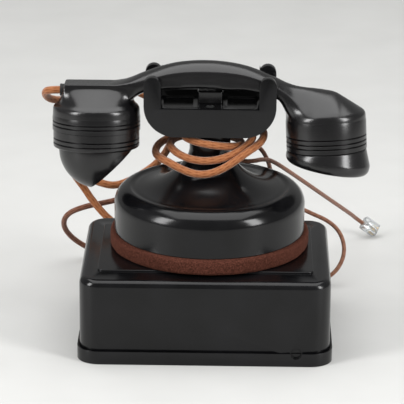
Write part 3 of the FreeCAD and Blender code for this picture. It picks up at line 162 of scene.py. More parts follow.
def baked_enamel():
    """Black stove enamel on pressed steel: deep gloss, a faint orange peel, and a film of dust in patches."""
    material, tree, shader, at = new_material("baked_enamel", IOR=1.38)
    film = add_node(tree, "ShaderNodeTexNoise", at, {"Scale": per(26.0), "Detail": 5.0})
    colour = add_node(tree, "ShaderNodeValToRGB", {"Fac": film.outputs["Fac"]},
                      stops=((0.35, "#070708"), (0.75, "#101012")))
    gloss = add_node(tree, "ShaderNodeMapRange", {"Value": film.outputs["Fac"]},
                     {"To Min": 0.12, "To Max": 0.24})
    peel = add_node(tree, "ShaderNodeTexNoise", at, {"Scale": per(3.0), "Detail": 3.0})
    relief = add_node(tree, "ShaderNodeBump", {"Height": peel.outputs["Fac"]},
                      {"Strength": 0.25, "Distance": 0.02 * MM})
    feed(tree, shader, Base_Color=colour.outputs["Color"], Roughness=gloss.outputs["Result"],
         Normal=relief.outputs["Normal"])
    return material


def polished_phenolic():
    """Black moulded phenolic, buffed: softer gloss than enamel, with fine handling scratches."""
    material, tree, shader, at = new_material("polished_phenolic", IOR=1.52)
    bloom = add_node(tree, "ShaderNodeTexNoise", at, {"Scale": per(18.0), "Detail": 6.0})
    colour = add_node(tree, "ShaderNodeValToRGB", {"Fac": bloom.outputs["Fac"]},
                      stops=((0.3, "#080809"), (0.8, "#121112")))
    hair = add_node(tree, "ShaderNodeMapping", at, {"Scale": (0.3, 1.0, 1.0)})
    scratches = add_node(tree, "ShaderNodeTexNoise", {"Vector": hair.outputs["Vector"]},
                         {"Scale": per(0.9), "Detail": 2.0})
    gloss = add_node(tree, "ShaderNodeMapRange", {"Value": scratches.outputs["Fac"]},
                     {"To Min": 0.2, "To Max": 0.28})
    relief = add_node(tree, "ShaderNodeBump", {"Height": scratches.outputs["Fac"]},
                      {"Strength": 0.08, "Distance": 0.004 * MM})
    feed(tree, shader, Base_Color=colour.outputs["Color"], Roughness=gloss.outputs["Result"],
         Normal=relief.outputs["Normal"])
    return material


def wool_felt():
    """Pressed wool, reddish brown: matted fibres, drawn coarse enough to show, and a soft sheen."""
    material, tree, shader, at = new_material(
        "wool_felt", Roughness=0.95, Sheen_Weight=0.3, Sheen_Roughness=0.5, Sheen_Tint=linear("#8f5a48"),
        Specular_IOR_Level=0.1)
    fibres = add_node(tree, "ShaderNodeTexNoise", at, {"Scale": per(1.0), "Detail": 6.0})
    colour = add_node(tree, "ShaderNodeValToRGB", {"Fac": fibres.outputs["Fac"]},
                      stops=((0.3, "#2d170f"), (0.5, "#47271e"), (0.72, "#5f392e")))
    relief = add_node(tree, "ShaderNodeBump", {"Height": fibres.outputs["Fac"]},
                      {"Strength": 0.8, "Distance": 0.4 * MM})
    feed(tree, shader, Base_Color=colour.outputs["Color"], Normal=relief.outputs["Normal"])
    return material


def cotton_braid(name, dark, mid, light):
    """Braided cotton over rubber: two sets of crossing threads, drawn coarser than the real 0.5 mm ones."""
    material, tree, shader, at = new_material(name, Roughness=0.82, Sheen_Weight=0.35, Sheen_Roughness=0.4,
                                              Specular_IOR_Level=0.2)
    lay = add_node(tree, "ShaderNodeTexCoord")
    along = add_node(tree, "ShaderNodeSeparateXYZ", {"Vector": lay.outputs["UV"]})
    waves = []
    for lean in (1.0, -1.0):
        around = add_node(tree, "ShaderNodeMath", {0: along.outputs["Y"]}, {1: lean * BRAID_STARTS},
                          operation="MULTIPLY")
        total = add_node(tree, "ShaderNodeMath", {0: along.outputs["X"], 1: around.outputs[0]},
                         operation="ADD")
        turn = add_node(tree, "ShaderNodeMath", {0: total.outputs[0]}, {1: 2 * math.pi},
                        operation="MULTIPLY")
        wave = add_node(tree, "ShaderNodeMath", {0: turn.outputs[0]}, operation="SINE")
        waves.append(wave.outputs[0])
    high = add_node(tree, "ShaderNodeMath", {0: waves[0], 1: waves[1]}, operation="MAXIMUM")
    weave = add_node(tree, "ShaderNodeMapRange", {"Value": high.outputs[0]}, {"From Min": -1.0})
    fuzz = add_node(tree, "ShaderNodeTexNoise", at, {"Scale": per(1.2), "Detail": 4.0})
    both = add_node(tree, "ShaderNodeMix", {"A": weave.outputs["Result"], "B": fuzz.outputs["Fac"]},
                    {"Factor": 0.45})
    colour = add_node(tree, "ShaderNodeValToRGB", {"Fac": both.outputs["Result"]},
                      stops=((0.2, dark), (0.6, mid), (0.95, light)))
    relief = add_node(tree, "ShaderNodeBump", {"Height": both.outputs["Result"]},
                      {"Strength": 0.8, "Distance": 0.35 * MM})
    feed(tree, shader, Base_Color=colour.outputs["Color"], Normal=relief.outputs["Normal"])
    return material


def clear_polycarbonate():
    """Clear moulded polycarbonate: sharp reflections, a little haze from handling."""
    material, tree, shader, at = new_material("clear_polycarbonate", IOR=1.58, Transmission_Weight=0.85,
                                              Base_Color=linear("#eef1f2"))
    haze = add_node(tree, "ShaderNodeTexNoise", at, {"Scale": per(2.0), "Detail": 3.0})
    gloss = add_node(tree, "ShaderNodeMapRange", {"Value": haze.outputs["Fac"]},
                     {"To Min": 0.05, "To Max": 0.22})
    feed(tree, shader, Roughness=gloss.outputs["Result"])
    return material


def metal(name, dull, bright, rough, grain_mm):
    """A plated or rolled metal, with a grain in its roughness and a slight tarnish in its colour."""
    material, tree, shader, at = new_material(name, Metallic=1.0)
    tarnish = add_node(tree, "ShaderNodeTexNoise", at, {"Scale": per(9.0), "Detail": 5.0})
    colour = add_node(tree, "ShaderNodeValToRGB", {"Fac": tarnish.outputs["Fac"]},
                      stops=((0.3, dull), (0.75, bright)))
    grain = add_node(tree, "ShaderNodeTexNoise", at, {"Scale": per(grain_mm), "Detail": 3.0})
    gloss = add_node(tree, "ShaderNodeMapRange", {"Value": grain.outputs["Fac"]},
                     {"To Min": rough, "To Max": rough + METAL_SPREAD})
    feed(tree, shader, Base_Color=colour.outputs["Color"], Roughness=gloss.outputs["Result"])
    return material


def matte(name, dark, light, rough, grain_mm, height_mm):
    """A dull surface such as rubber, varnished wire or pressed fibre, its grain in colour and relief."""
    material, tree, shader, at = new_material(name, Roughness=rough)
    grain = add_node(tree, "ShaderNodeTexNoise", at, {"Scale": per(grain_mm), "Detail": 5.0})
    colour = add_node(tree, "ShaderNodeValToRGB", {"Fac": grain.outputs["Fac"]},
                      stops=((0.3, dark), (0.7, light)))
    relief = add_node(tree, "ShaderNodeBump", {"Height": grain.outputs["Fac"]},
                      {"Strength": 0.5, "Distance": height_mm * MM})
    feed(tree, shader, Base_Color=colour.outputs["Color"], Normal=relief.outputs["Normal"])
    return material


def make_materials():
    """One material for each of the record's slots."""
    return {
        "black_enamel": baked_enamel(),
        "black_bakelite": polished_phenolic(),
        "felt": wool_felt(),
        "handset_cord_cloth": cotton_braid("cotton_braid_amber", "#774426", "#925935", "#a8724c"),
        "mounting_cord_cloth": cotton_braid("cotton_braid_brown", "#4c2b1f", "#6d4433", "#87604d"),
        "line_cord_cloth": cotton_braid("cotton_braid_tan", "#563323", "#7a5240", "#976f5a"),
        "clear_plastic": clear_polycarbonate(),
        "gilt_contact": metal("gilt_contact", "#b98a35", "#e6c06a", 0.2, 0.8),
        "rubber": matte("moulded_rubber", "#101010", "#1c1c1b", 0.7, 1.5, 0.05),
        "nickel_steel": metal("nickel_plate", "#8d8f90", "#c2c3c2", 0.24, 0.7),
        "brass": metal("rolled_brass", "#8f6a31", "#c9a15a", 0.25, 0.9),
        "coil_wire": matte("varnished_wire", "#3f150d", "#7a2b18", 0.4, 0.6, 0.1),
        "fibre": matte("pressed_fibre", "#3a1a12", "#5c2d20", 0.6, 1.2, 0.05),
    }


MATERIALS = make_materials()


def dress(piece, slot, body="set", nodes=(), ride=True):
    """Give a finished piece its material in its slot, hide the nodes that it stands for and, when it rides,
    attach it to its body.
    """
    piece.data.materials.clear()
    piece.data.materials.append(MATERIALS[slot])
    if nodes:
        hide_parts(*nodes)
    if ride:
        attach(piece, body)
    return piece


def dress_nodes():
    """Every node that no piece replaces keeps its shape and gets its slot's material."""
    for row in frame["record"]["subparts"]:
        node = frame["nodes"][row["node"]]
        node.data.materials.clear()
        node.data.materials.append(MATERIALS[row["material_slot"]])


# Tools for the rigid pieces

MERGE, TURN_MERGE = 0.002, 0.001
FLAT_WITHIN = 1.0
# Angles in degrees up to which an edge is shaded smoothly
SMOOTH_HARD, SMOOTH_SOFT, SMOOTH_GROOVED = 40.0, 60.0, 30.0


def only(piece):
    """Make one object the active and only selected one."""
    bpy.ops.object.select_all(action="DESELECT")
    piece.select_set(True)
    bpy.context.view_layer.objects.active = piece


def apply_modifier(piece, name, kind, **settings):
    """Add a modifier with its settings and apply it."""
    only(piece)
    modifier = piece.modifiers.new(name, kind)
    for key, value in settings.items():
        setattr(modifier, key, value)
    bpy.ops.object.modifier_apply(modifier=name)


def smooth(piece, degrees):
    """Shade a piece smoothly, apart from edges sharper than the given angle."""
    only(piece)
    bpy.ops.object.shade_smooth_by_angle(angle=math.radians(degrees))


def softened_copy(node, name, width_mm=0.0, segments=1, degrees=30.0):
    """A copy of a node's mesh with its triangles joined and its sharp edges rounded."""
    piece = frame["nodes"][node].copy()
    piece.data = piece.data.copy()
    piece.name = name
    piece.parent = None
    piece.matrix_world = Matrix.Identity(4)
    bpy.context.scene.collection.objects.link(piece)
    only(piece)
    bpy.ops.object.mode_set(mode="EDIT")
    bpy.ops.mesh.select_all(action="SELECT")
    bpy.ops.mesh.remove_doubles(threshold=MERGE * MM)
    bpy.ops.mesh.dissolve_limited(angle_limit=math.radians(FLAT_WITHIN))
    bpy.ops.object.mode_set(mode="OBJECT")
    if width_mm:
        apply_modifier(piece, "round", "BEVEL", width=width_mm * MM, segments=segments, limit_method="ANGLE",
                       angle_limit=math.radians(degrees), use_clamp_overlap=True)
    smooth(piece, SMOOTH_HARD)
    return piece


def arc(start, middle, end, count):
    """Points of the arc through three places in a plane, without its first."""
    (ax, ay), (bx, by), (cx, cy) = start, middle, end
    a2, b2, c2 = ax * ax + ay * ay, bx * bx + by * by, cx * cx + cy * cy
    d = 2 * (ax * (by - cy) + bx * (cy - ay) + cx * (ay - by))
    ux = (a2 * (by - cy) + b2 * (cy - ay) + c2 * (ay - by)) / d
    uy = (a2 * (cx - bx) + b2 * (ax - cx) + c2 * (bx - ax)) / d
    angles = [math.atan2(y - uy, x - ux) for x, y in (start, middle, end)]
    sweep = (angles[2] - angles[0]) % (2 * math.pi)
    if (angles[1] - angles[0]) % (2 * math.pi) > sweep:
        sweep -= 2 * math.pi
    radius = math.hypot(ax - ux, ay - uy)
    turns = [angles[0] + sweep * (k + 1) / count for k in range(count)]
    return [(ux + radius * math.cos(a), uy + radius * math.sin(a)) for a in turns]


def profile(start, *steps):
    """A line of points; a step is an end point, or an arc's middle, end and number of points."""
    points = [start]
    for step in steps:
        points += [step] if not isinstance(step[0], tuple) else arc(points[-1], *step)
    return points


def turned_piece(name, points, place, steps=128, closed=True):
    """A profile of radius and height spun about Z, then moved to its place."""
    mesh = bpy.data.meshes.new(name)
    ring = [(i, i + 1) for i in range(len(points) - 1)]
    if closed:
        ring.append((len(points) - 1, 0))
    mesh.from_pydata([(r * MM, 0, z * MM) for r, z in points], ring, [])
    piece = bpy.data.objects.new(name, mesh)
    bpy.context.scene.collection.objects.link(piece)
    only(piece)
    bpy.ops.object.mode_set(mode="EDIT")
    bpy.ops.mesh.select_all(action="SELECT")
    bpy.ops.mesh.spin(steps=steps, angle=2 * math.pi, center=(0, 0, 0), axis=(0, 0, 1))
    bpy.ops.mesh.select_all(action="SELECT")
    bpy.ops.mesh.remove_doubles(threshold=TURN_MERGE * MM)
    bpy.ops.mesh.normals_make_consistent(inside=False)
    bpy.ops.object.mode_set(mode="OBJECT")
    piece.matrix_world = place
    only(piece)
    bpy.ops.object.transform_apply(location=True, rotation=True, scale=True)
    return piece


# Cords

WIND_TURNS, WIND_Z, WIND_DIP, WIND_TILT, WIND_BACK_DROP = 2.75, 142.3, 17.3, 6.5, 6.0
WIND_SHIFT, WIND_SIDE, WIND_SIDE_STEP = 2.5, 43.6, 9.25
WIND_FRONT, WIND_FRONT_STEP, WIND_BACK, WIND_BACK_STEP = 29.5, 4.2, 40.0, 7.0
WIND_PER_TURN = 24
# Where the loose turns leave the even winding: turns in, reach in turns, drop
WIND_SAGS = ((0.5, 0.07, 3.0), (0.375, 0.06, -2.6), (0.625, 0.06, -2.6), (1.5, 0.15, 2.8), (2.25, 0.18, 4.5))


def wind(s):
    """A point of the winding, s turns in from its outer end at the back; the inner turns hang less."""
    a = 2 * math.pi * s
    front = (1 - math.cos(a)) / 2
    back = 1 - front
    side = WIND_SIDE - WIND_SIDE_STEP * s
    depth = WIND_FRONT - WIND_FRONT_STEP * s if math.cos(a) < 0 else WIND_BACK - WIND_BACK_STEP * s
    slack = 1 - (s - 0.5) / 2
    z = WIND_Z - slack * (WIND_DIP * front ** 2 - WIND_TILT * math.sin(a)) - WIND_BACK_DROP * back ** 2
    z -= sum(drop * math.exp(-((s - place) / reach) ** 2) for place, reach, drop in WIND_SAGS)
    return (AXIS_X - WIND_SHIFT * slack + side * math.sin(a), AXIS_Y + depth * math.cos(a), z)


def winding_points():
    """The winding's points from its inner end to its outer end."""
    steps = int(WIND_TURNS * WIND_PER_TURN)
    return [wind(WIND_TURNS - k / WIND_PER_TURN) for k in range(steps + 1)]


HANDSET_CORD_OUT = [
    (-98.6, 10.5, 175.5), (-110.0, 10.5, 175.4), (-115.2, 17.0, 172.4), (-115.8, 26.5, 166.2),
    (-112.5, 35.5, 160.5), (-101.0, 50.5, 155.5), (-87.0, 55.0, 157.0), (-72.0, 54.5, 162.0),
    (-57.5, 51.0, 164.5), (-45.0, 46.5, 161.5), (-34.5, 42.5, 154.5), (-25.5, 38.5, 146.5),
    (-19.6, 32.0, 142.9), (-15.4, 24.0, 141.9),
]
HANDSET_CORD_BACK = [
    (-15.8, 51.8, 136.0), (-23.5, 55.0, 130.5), (-27.5, 62.5, 120.5), (-32.0, 70.5, 109.5),
    (-38.0, 77.0, 100.0), (-46.5, 81.0, 92.0), (-58.0, 79.0, 85.5), (-69.5, 73.5, 82.8),
    (-81.0, 73.5, 85.6), (-92.0, 79.5, 89.0), (-100.5, 90.5, 88.5), (-101.5, 103.0, 82.0),
    (-95.0, 108.5, 71.0), (-86.5, 106.0, 58.5), (-74.5, 102.0, 46.0), (-58.0, 99.5, 36.5),
    (-39.5, 100.0, 32.5), (-21.5, 104.5, 37.0), (-9.5, 109.5, 49.0), (-4.5, 111.5, 63.5),
    (-4.8, 107.5, 76.0), (-6.2, 96.5, 83.0), (-6.2, 86.5, 84.0), (-6.2, 76.5, 84.0),
]
MOUNTING_CORD = [
    (17.8, 75.3, 84.0), (17.8, 90.3, 84.0), (15.0, 107.0, 80.5), (2.0, 121.0, 74.5),
    (-22.0, 128.0, 67.5), (-48.0, 125.5, 61.0), (-73.0, 117.5, 56.0), (-95.5, 108.0, 54.5),
    (-109.0, 115.0, 45.5), (-111.5, 126.0, 31.5), (-103.5, 137.0, 17.0), (-88.0, 143.0, 6.0),
    (-70.0, 140.0, 2.4), (-54.0, 128.0, 2.4), (-44.0, 112.0, 6.0), (-40.0, 97.0, 15.0),
    (-40.0, 80.0, 20.0), (-40.0, 67.0, 20.0),
]
LINE_CORD = [
    (52.0, 67.0, 20.0), (52.0, 78.0, 20.0), (58.0, 90.0, 13.0), (70.0, 92.0, 5.0),
    (85.0, 89.0, 4.0), (97.0, 91.0, 11.0), (103.5, 99.0, 23.0), (101.0, 109.0, 34.5),
    (92.0, 116.0, 42.5), (74.0, 117.0, 50.0), (58.0, 110.0, 61.0), (49.0, 96.0, 76.0),
    (46.5, 81.0, 91.5), (43.5, 68.5, 107.0), (38.0, 60.0, 118.5), (30.5, 51.0, 125.0),
    (22.5, 42.0, 126.5), (17.5, 33.0, 125.0), (18.5, 23.5, 122.8), (26.0, 18.5, 121.2),
    (33.5, 24.0, 119.8), (39.0, 35.5, 117.5), (46.4, 50.0, 112.3), (68.0, 92.0, 84.2),
    (92.6, 143.0, 50.6), (111.5, 187.0, 23.5), (115.9, 199.8, 15.6), (123.9, 200.8, 9.6),
]
ROUTE_ORDER, ROUTE_STEPS, SAME_PLACE = 3, 8, 0.001
CORD_SIDES = 16
PLUG_EDGE = 0.25


def smooth_line(points):
    """The points of the NURBS line that has a route's points as its control points."""
    curve = bpy.data.curves.new("route", "CURVE")
    curve.dimensions = "3D"
    curve.resolution_u = ROUTE_STEPS
    spline = curve.splines.new("NURBS")
    spline.points.add(len(points) - 1)
    for point, (x, y, z) in zip(spline.points, points):
        point.co = (x * MM, y * MM, z * MM, 1.0)
    spline.order_u = ROUTE_ORDER
    spline.use_endpoint_u = True
    carrier = bpy.data.objects.new("route", curve)
    bpy.context.scene.collection.objects.link(carrier)
    bpy.context.view_layer.update()
    mesh = bpy.data.meshes.new_from_object(carrier.evaluated_get(bpy.context.evaluated_depsgraph_get()))
    line = [v.co.copy() for v in mesh.vertices]
    bpy.data.objects.remove(carrier)
    bpy.data.meshes.remove(mesh)
    return [p for k, p in enumerate(line) if k == 0 or (p - line[k - 1]).length > SAME_PLACE * MM]


def cord_tube(name, points, diameter):
    """A round tube along a route's smooth line; its UV map counts the braid's repeats along and around it."""
    line = smooth_line(points)
    ways = [(b - a).normalized() for a, b in zip(line, line[1:])]
    ways.append(ways[-1])
    side = ways[0].orthogonal().normalized()
    verts, run, lengths = [], 0.0, []
    for k, (at, way) in enumerate(zip(line, ways)):
        run += (at - line[k - 1]).length if k else 0.0
        lengths.append(run)
        side = (side - way * side.dot(way)).normalized()
        across = way.cross(side)
        for j in range(CORD_SIDES):
            a = 2 * math.pi * j / CORD_SIDES
            verts.append(at + (side * math.cos(a) + across * math.sin(a)) * diameter * MM / 2)
    faces, uvs = [], []
    for k in range(len(line) - 1):
        here, there = k * CORD_SIDES, (k + 1) * CORD_SIDES
        u0, u1 = (lengths[i] / (BRAID_REPEAT * MM) for i in (k, k + 1))
        for j in range(CORD_SIDES):
            n = (j + 1) % CORD_SIDES
            v0, v1 = j / CORD_SIDES, (j + 1) / CORD_SIDES
            faces.append((here + j, here + n, there + n, there + j))
            uvs += [(u0, v0), (u0, v1), (u1, v1), (u1, v0)]
    last = (len(line) - 1) * CORD_SIDES
    faces.append(tuple(reversed(range(CORD_SIDES))))
    faces.append(tuple(range(last, last + CORD_SIDES)))
    uvs += [(0.0, 0.0)] * (2 * CORD_SIDES)
    mesh = bpy.data.meshes.new(name)
    mesh.from_pydata(verts, [], faces)
    layer = mesh.uv_layers.new(name="UVMap")
    for loop, uv in zip(layer.data, uvs):
        loop.uv = uv
    mesh.polygons.foreach_set("use_smooth", [len(f) == 4 for f in faces])
    tube = bpy.data.objects.new(name, mesh)
    bpy.context.scene.collection.objects.link(tube)
    return tube, line, run


def add_cords():
    """Three cords: one runs from the handset round the neck, one joins stand and box, and one ends in a plug.
    """
    points = HANDSET_CORD_OUT + winding_points() + HANDSET_CORD_BACK
    tube, line, length = cord_tube("handset_cord", points, HANDSET_CORD_D)
    dress(tube, "handset_cord_cloth", ride=False, nodes=(
        "handset_cord_lead", "handset_cord_upper", "handset_cord_winding", "handset_cord_tail"))
    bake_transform(tube)
    tube, line, length = cord_tube("mounting_cord_braid", MOUNTING_CORD, MOUNTING_CORD_D)
    dress(tube, "mounting_cord_cloth", nodes=("mounting_cord",))
    tube, line, length = cord_tube("line_cord_braid", LINE_CORD, LINE_CORD_D)
    dress(tube, "line_cord_cloth", nodes=("line_cord",))
    plug = softened_copy("line_plug", "plug_body", PLUG_EDGE, 2)
    dress(plug, "clear_plastic", nodes=("line_plug",))


# Bell box

# Radius of a rounded edge, and the angle in degrees from which an edge gets it
COVER_EDGE, COVER_SHARP = 0.45, 60.0
PAN_EDGE, PAN_SHARP = 0.7, 50.0


def bell_box():
    """The pressed cover and the pan below it, with their sheet edges rounded."""
    cover = softened_copy("bell_box_cover", "cover_shell", COVER_EDGE, 2, COVER_SHARP)
    dress(cover, "black_enamel", nodes=("bell_box_cover",))
    pan = softened_copy("bell_box_pan", "pan_shell", PAN_EDGE, 3, PAN_SHARP)
    dress(pan, "black_enamel", nodes=("bell_box_pan",))


# Stand

# The shell's lines of radius and height: outside from the foot to the neck, inside from the neck to the foot
SHELL_EDGE = 0.6
SHELL_BORE_R = 64.5
SHELL_OUTSIDE = profile(
    (SHELL_BORE_R, 0.0), (STAND_R - SHELL_EDGE, 0.0), (STAND_R, SHELL_EDGE), (STAND_R, 18.5),
    ((64.78, 28.1), (57.0, 32.1), 18), ((54.5, 31.2), (52.0, 31.56), 6), ((29.5, 39.5), (16.5, 53.1), 22),
    ((15.2, 56.5), (NECK_R, 60.1), 5), (NECK_R, 72.9), (NECK_R - SHELL_EDGE, NECK_TOP_H))
SHELL_INSIDE = profile(
    (3.1, NECK_TOP_H), (3.1, 67.5), (8.0, 67.5), (8.0, 44.1), ((27.5, 35.1), (50.0, 27.6), 10),
    (57.0, 28.6), ((62.3, 25.6), (SHELL_BORE_R, 18.5), 8))
# The cradle's rear lip stands a little higher than the construction's, to close the view under the handle
CRADLE_EDGE = 0.9
LIP_Y, LIP_HALF, LIP_RISE = 13.0, 35.0, 2.4
Z_LIP = Z_CRADLE + 21.5
# The trough on both sides of the plunger is shallower than the construction's
TROUGH_NEAR, TROUGH_FAR, TROUGH_REACH = 11.0, 34.0, 14.5
Z_TROUGH_LOW, Z_TROUGH_HIGH, Z_TROUGH_FLOOR = Z_CRADLE + 8.0, Z_CRADLE + 18.0, Z_CRADLE + 19.4
# The felt's soft edge, and its unevenness: size, waves around, shift and change with height
FELT_EDGE, FELT_CUT = 2.5, 0.29
FELT_STEPS = 220
FELT_STEADY = 1.0
FELT_WAVES = ((0.16, 9, 0.8, 0.0), (0.12, 23, 0.0, 1.0), (0.08, 61, 0.0, -2.0))


def stand():
    """The turned shell, its felt foot and the forked cradle."""
    shell = turned_piece("stand_body", SHELL_OUTSIDE + SHELL_INSIDE, STAND)
    smooth(shell, SMOOTH_HARD)
    dress(shell, "black_enamel", nodes=("stand_shell",))
    felt()
    cradle = softened_copy("cradle", "cradle_casting", CRADLE_EDGE, 3)
    for v in cradle.data.vertices:
        x, y, z = v.co / MM
        aside, deep = abs(x - AXIS_X), y - AXIS_Y
        if deep > LIP_Y and z > Z_LIP and aside < LIP_HALF:
            v.co.z += LIP_RISE * MM
        inside = TROUGH_NEAR < aside < TROUGH_FAR and abs(deep) < TROUGH_REACH
        if inside and Z_TROUGH_LOW < z < Z_TROUGH_HIGH:
            v.co.z = Z_TROUGH_FLOOR * MM
    dress(cradle, "black_enamel", nodes=("cradle",))


def felt():
    """The thick ring under the stand, soft-edged and uneven."""
    cut = FELT_CUT * FELT_EDGE
    points = profile((FELT_BORE_R, 0.0), (FELT_R - FELT_EDGE, 0.0),
                     ((FELT_R - cut, cut), (FELT_R, FELT_EDGE), 6),
                     (FELT_R, FELT_T / 2), (FELT_R, FELT_T - FELT_EDGE),
                     ((FELT_R - cut, FELT_T - cut), (FELT_R - FELT_EDGE, FELT_T), 6), (FELT_BORE_R, FELT_T))
    place = Matrix.Translation((AXIS_X * MM, AXIS_Y * MM, Z_PANEL * MM))
    ring = turned_piece("felt_ring", points, place, steps=FELT_STEPS)
    for v in ring.data.vertices:
        x, y, z = v.co / MM
        a = math.atan2(y - AXIS_Y, x - AXIS_X)
        if math.hypot(x - AXIS_X, y - AXIS_Y) > FELT_BORE_R + FELT_STEADY:
            wave = sum(size * math.sin(count * a + shift + rise * z)
                       for size, count, shift, rise in FELT_WAVES)
            v.co.x += wave * math.cos(a) * MM
            v.co.y += wave * math.sin(a) * MM
    smooth(ring, SMOOTH_SOFT)
    dress(ring, "felt", nodes=("stand_felt",))


# Handset

# Stations along the handle: place, top, underside, crown, half width, and how far its top is a pitched roof
GRIP = (
    (-70.0, -4.3, -20.0, 0.4, 12.2, 0.0), (-64.0, -3.1, -19.0, 0.8, 12.3, 0.0),
    (-57.0, -0.9, -16.6, 2.0, 12.4, 0.0), (-46.0, 4.0, -10.4, 4.2, 12.4, 0.0),
    (-24.0, 10.6, -7.8, 6.4, 12.4, 0.0), (0.0, 12.2, -7.4, 7.1, 12.4, 0.0),
    (24.0, 9.0, -8.6, 5.8, 12.4, 0.0), (46.0, 0.8, -13.6, 4.6, 12.4, 0.0),
    (50.0, -1.3, -17.5, 5.6, 12.6, 0.1), (54.0, -3.0, -25.0, 7.4, 13.4, 0.3),
    (60.0, -4.8, -30.0, 14.0, 16.6, 0.7), (66.0, -5.9, -30.0, 17.0, 21.2, 1.0),
    (74.0, -6.8, -30.0, 15.8, 25.2, 1.0), (82.0, -7.9, -30.0, 14.3, 26.4, 1.0),
    (90.0, -10.8, -30.0, 11.0, 25.0, 1.0), (96.0, -16.5, -30.0, 8.0, 20.0, 1.0),
)
GRIP_FROM, GRIP_TO, GRIP_STEPS = -69.5, 95.0, 120
GRIP_OVER, SOLE, RIDGE = 0.3, 2.6, 0.6
CROWN_POINTS, SOLE_POINTS = 24, 12
# The construction's handle is kept up to this place; the receiver's end beyond it is formed anew
CUT_X = 50.0
HEAR_TOP, HEAR_BORE_R, HEAR_CEILING = -7.6, 24.6, -25.0
HEAR_WALL_TOP = -25.5
HEAR_SHOULDER = ((27.75, -23.68), (26.52, -22.26), 6)
HEAR_DOME_FOOT = (11.57, -11.8)
HEAR_DOME = ((6.16, -8.69), (0, HEAR_TOP), 8)
# Remeshing and smoothing: size of the net, and passes over all, over the webs and over the cap
BODY_NET, CAP_NET = 0.8, 0.6
BODY_PASSES, WEB_PASSES, CAP_PASSES = 6, 70, 8
SOFTEN_STEP = 0.5
# Where the moulding is softest, in the handset's own frame: place and reach, and how soft
WEB_FOOT, WEB_FADE = -34.0, 8.0
HEAR_WEB, TALK_WEB = (59.0, 18.0), (-49.0, 8.0)
TALK_SHOULDER, TALK_SHOULDER_FROM, TALK_SHOULDER_SOFT = (-22.0, 4.0), -46.0, 0.35
HIP, HIP_SOFT = (84.0, 16.0), 0.8
# Groove bands round the cups: they stand proud of the wall, which is drawn in behind them
GROOVE_DEPTH, GROOVE_HALF = 0.7, 0.6
BAND_PROUD, BAND_T, BAND_RUN_OUT, BAND_TOP_IN = 0.25, 2.0, 2.5, 0.1
TALK_BAND_TOP, HEAR_BAND_TOP = -26.0, -27.0
TALK_GROOVES, RING_GROOVES, HEAR_GROOVES = (6.3, 3.5), (6.6, 3.4), (9.8, 6.4, 3.4)
SINK_DEPTH, SINK_BELOW_TOP, SINK_PAST_END = 1.5, 2.0, 0.5
RING_GAP, RING_BORE_R, RING_LIP_R, RING_LIP_T = 0.3, 27.7, 26.65, 1.2
RING_EDGE, RING_CUT = 1.5, 0.45
HORN_EDGE, HORN_SHARP = 0.5, 40.0


def crown_line(top, crown, half, roof):
    """Points over the handle's top from front to back: round along the bar, pitched over the receiver."""
    radius = (half ** 2 + crown ** 2) / (2 * crown)
    points = []
    for k in range(CROWN_POINTS + 1):
        u = 1 - 2 * k / CROWN_POINTS
        rounded = radius - math.sqrt(radius ** 2 - (u * half) ** 2)
        pitched = crown * (math.hypot(u, RIDGE) - RIDGE) / (math.hypot(1, RIDGE) - RIDGE)
        points.append((u * half, top - (1 - roof) * rounded - roof * pitched))
    return points


def grip_at(x):
    """The handle's measures at one place, run smoothly through its stations."""
    k = max(i for i in range(len(GRIP) - 1) if GRIP[i][0] <= x)
    a, b = GRIP[k], GRIP[k + 1]
    before, after = GRIP[max(k - 1, 0)], GRIP[min(k + 2, len(GRIP) - 1)]
    span = b[0] - a[0]
    t = (x - a[0]) / span
    values = []
    for i in range(1, len(a)):
        rise_a = (b[i] - before[i]) / (b[0] - before[0]) * span
        rise_b = (after[i] - a[i]) / (after[0] - a[0]) * span
        values.append((2 * t ** 3 - 3 * t ** 2 + 1) * a[i] + (t ** 3 - 2 * t ** 2 + t) * rise_a
                      + (3 * t ** 2 - 2 * t ** 3) * b[i] + (t ** 3 - t ** 2) * rise_b)
    return values


def grip_bar():
    """The handle's bar as one smooth form: sections bridged, ends closed and the receiver's bore cut."""
    verts, edges = [], []
    for k in range(GRIP_STEPS + 1):
        x = GRIP_FROM + (GRIP_TO - GRIP_FROM) * k / GRIP_STEPS
        top, low, crown, half, roof = grip_at(x)
        top, half = top + GRIP_OVER, half + GRIP_OVER
        ring = profile((-half, low + SOLE), ((0, low), (half, low + SOLE), SOLE_POINTS))
        ring += crown_line(top, crown, half, roof)
        first = len(verts)
        verts += [HANDSET @ (Vector((x, y, z)) * MM) for y, z in ring]
        edges += [(first + j, first + (j + 1) % len(ring)) for j in range(len(ring))]
    mesh = bpy.data.meshes.new("grip_bar")
    mesh.from_pydata(verts, edges, [])
    bar = bpy.data.objects.new("grip_bar", mesh)
    bpy.context.scene.collection.objects.link(bar)
    only(bar)
    bpy.ops.object.mode_set(mode="EDIT")
    bpy.ops.mesh.select_all(action="SELECT")
    bpy.ops.mesh.bridge_edge_loops()
    bpy.ops.mesh.select_all(action="SELECT")
    bpy.ops.mesh.fill_holes(sides=0)
    bpy.ops.mesh.select_all(action="SELECT")
    bpy.ops.mesh.normals_make_consistent(inside=False)
    bpy.ops.object.mode_set(mode="OBJECT")
    bore = turned_piece("bore", [(0, HEAR_BOTTOM), (HEAR_BORE_R, HEAR_BOTTOM), (HEAR_BORE_R, HEAR_CEILING),
                                 (0, HEAR_CEILING)], AT_HEAR, closed=False)
    apply_modifier(bar, "bore", "BOOLEAN", operation="DIFFERENCE", object=bore, solver="EXACT")
    bpy.data.objects.remove(bore)
    return bar


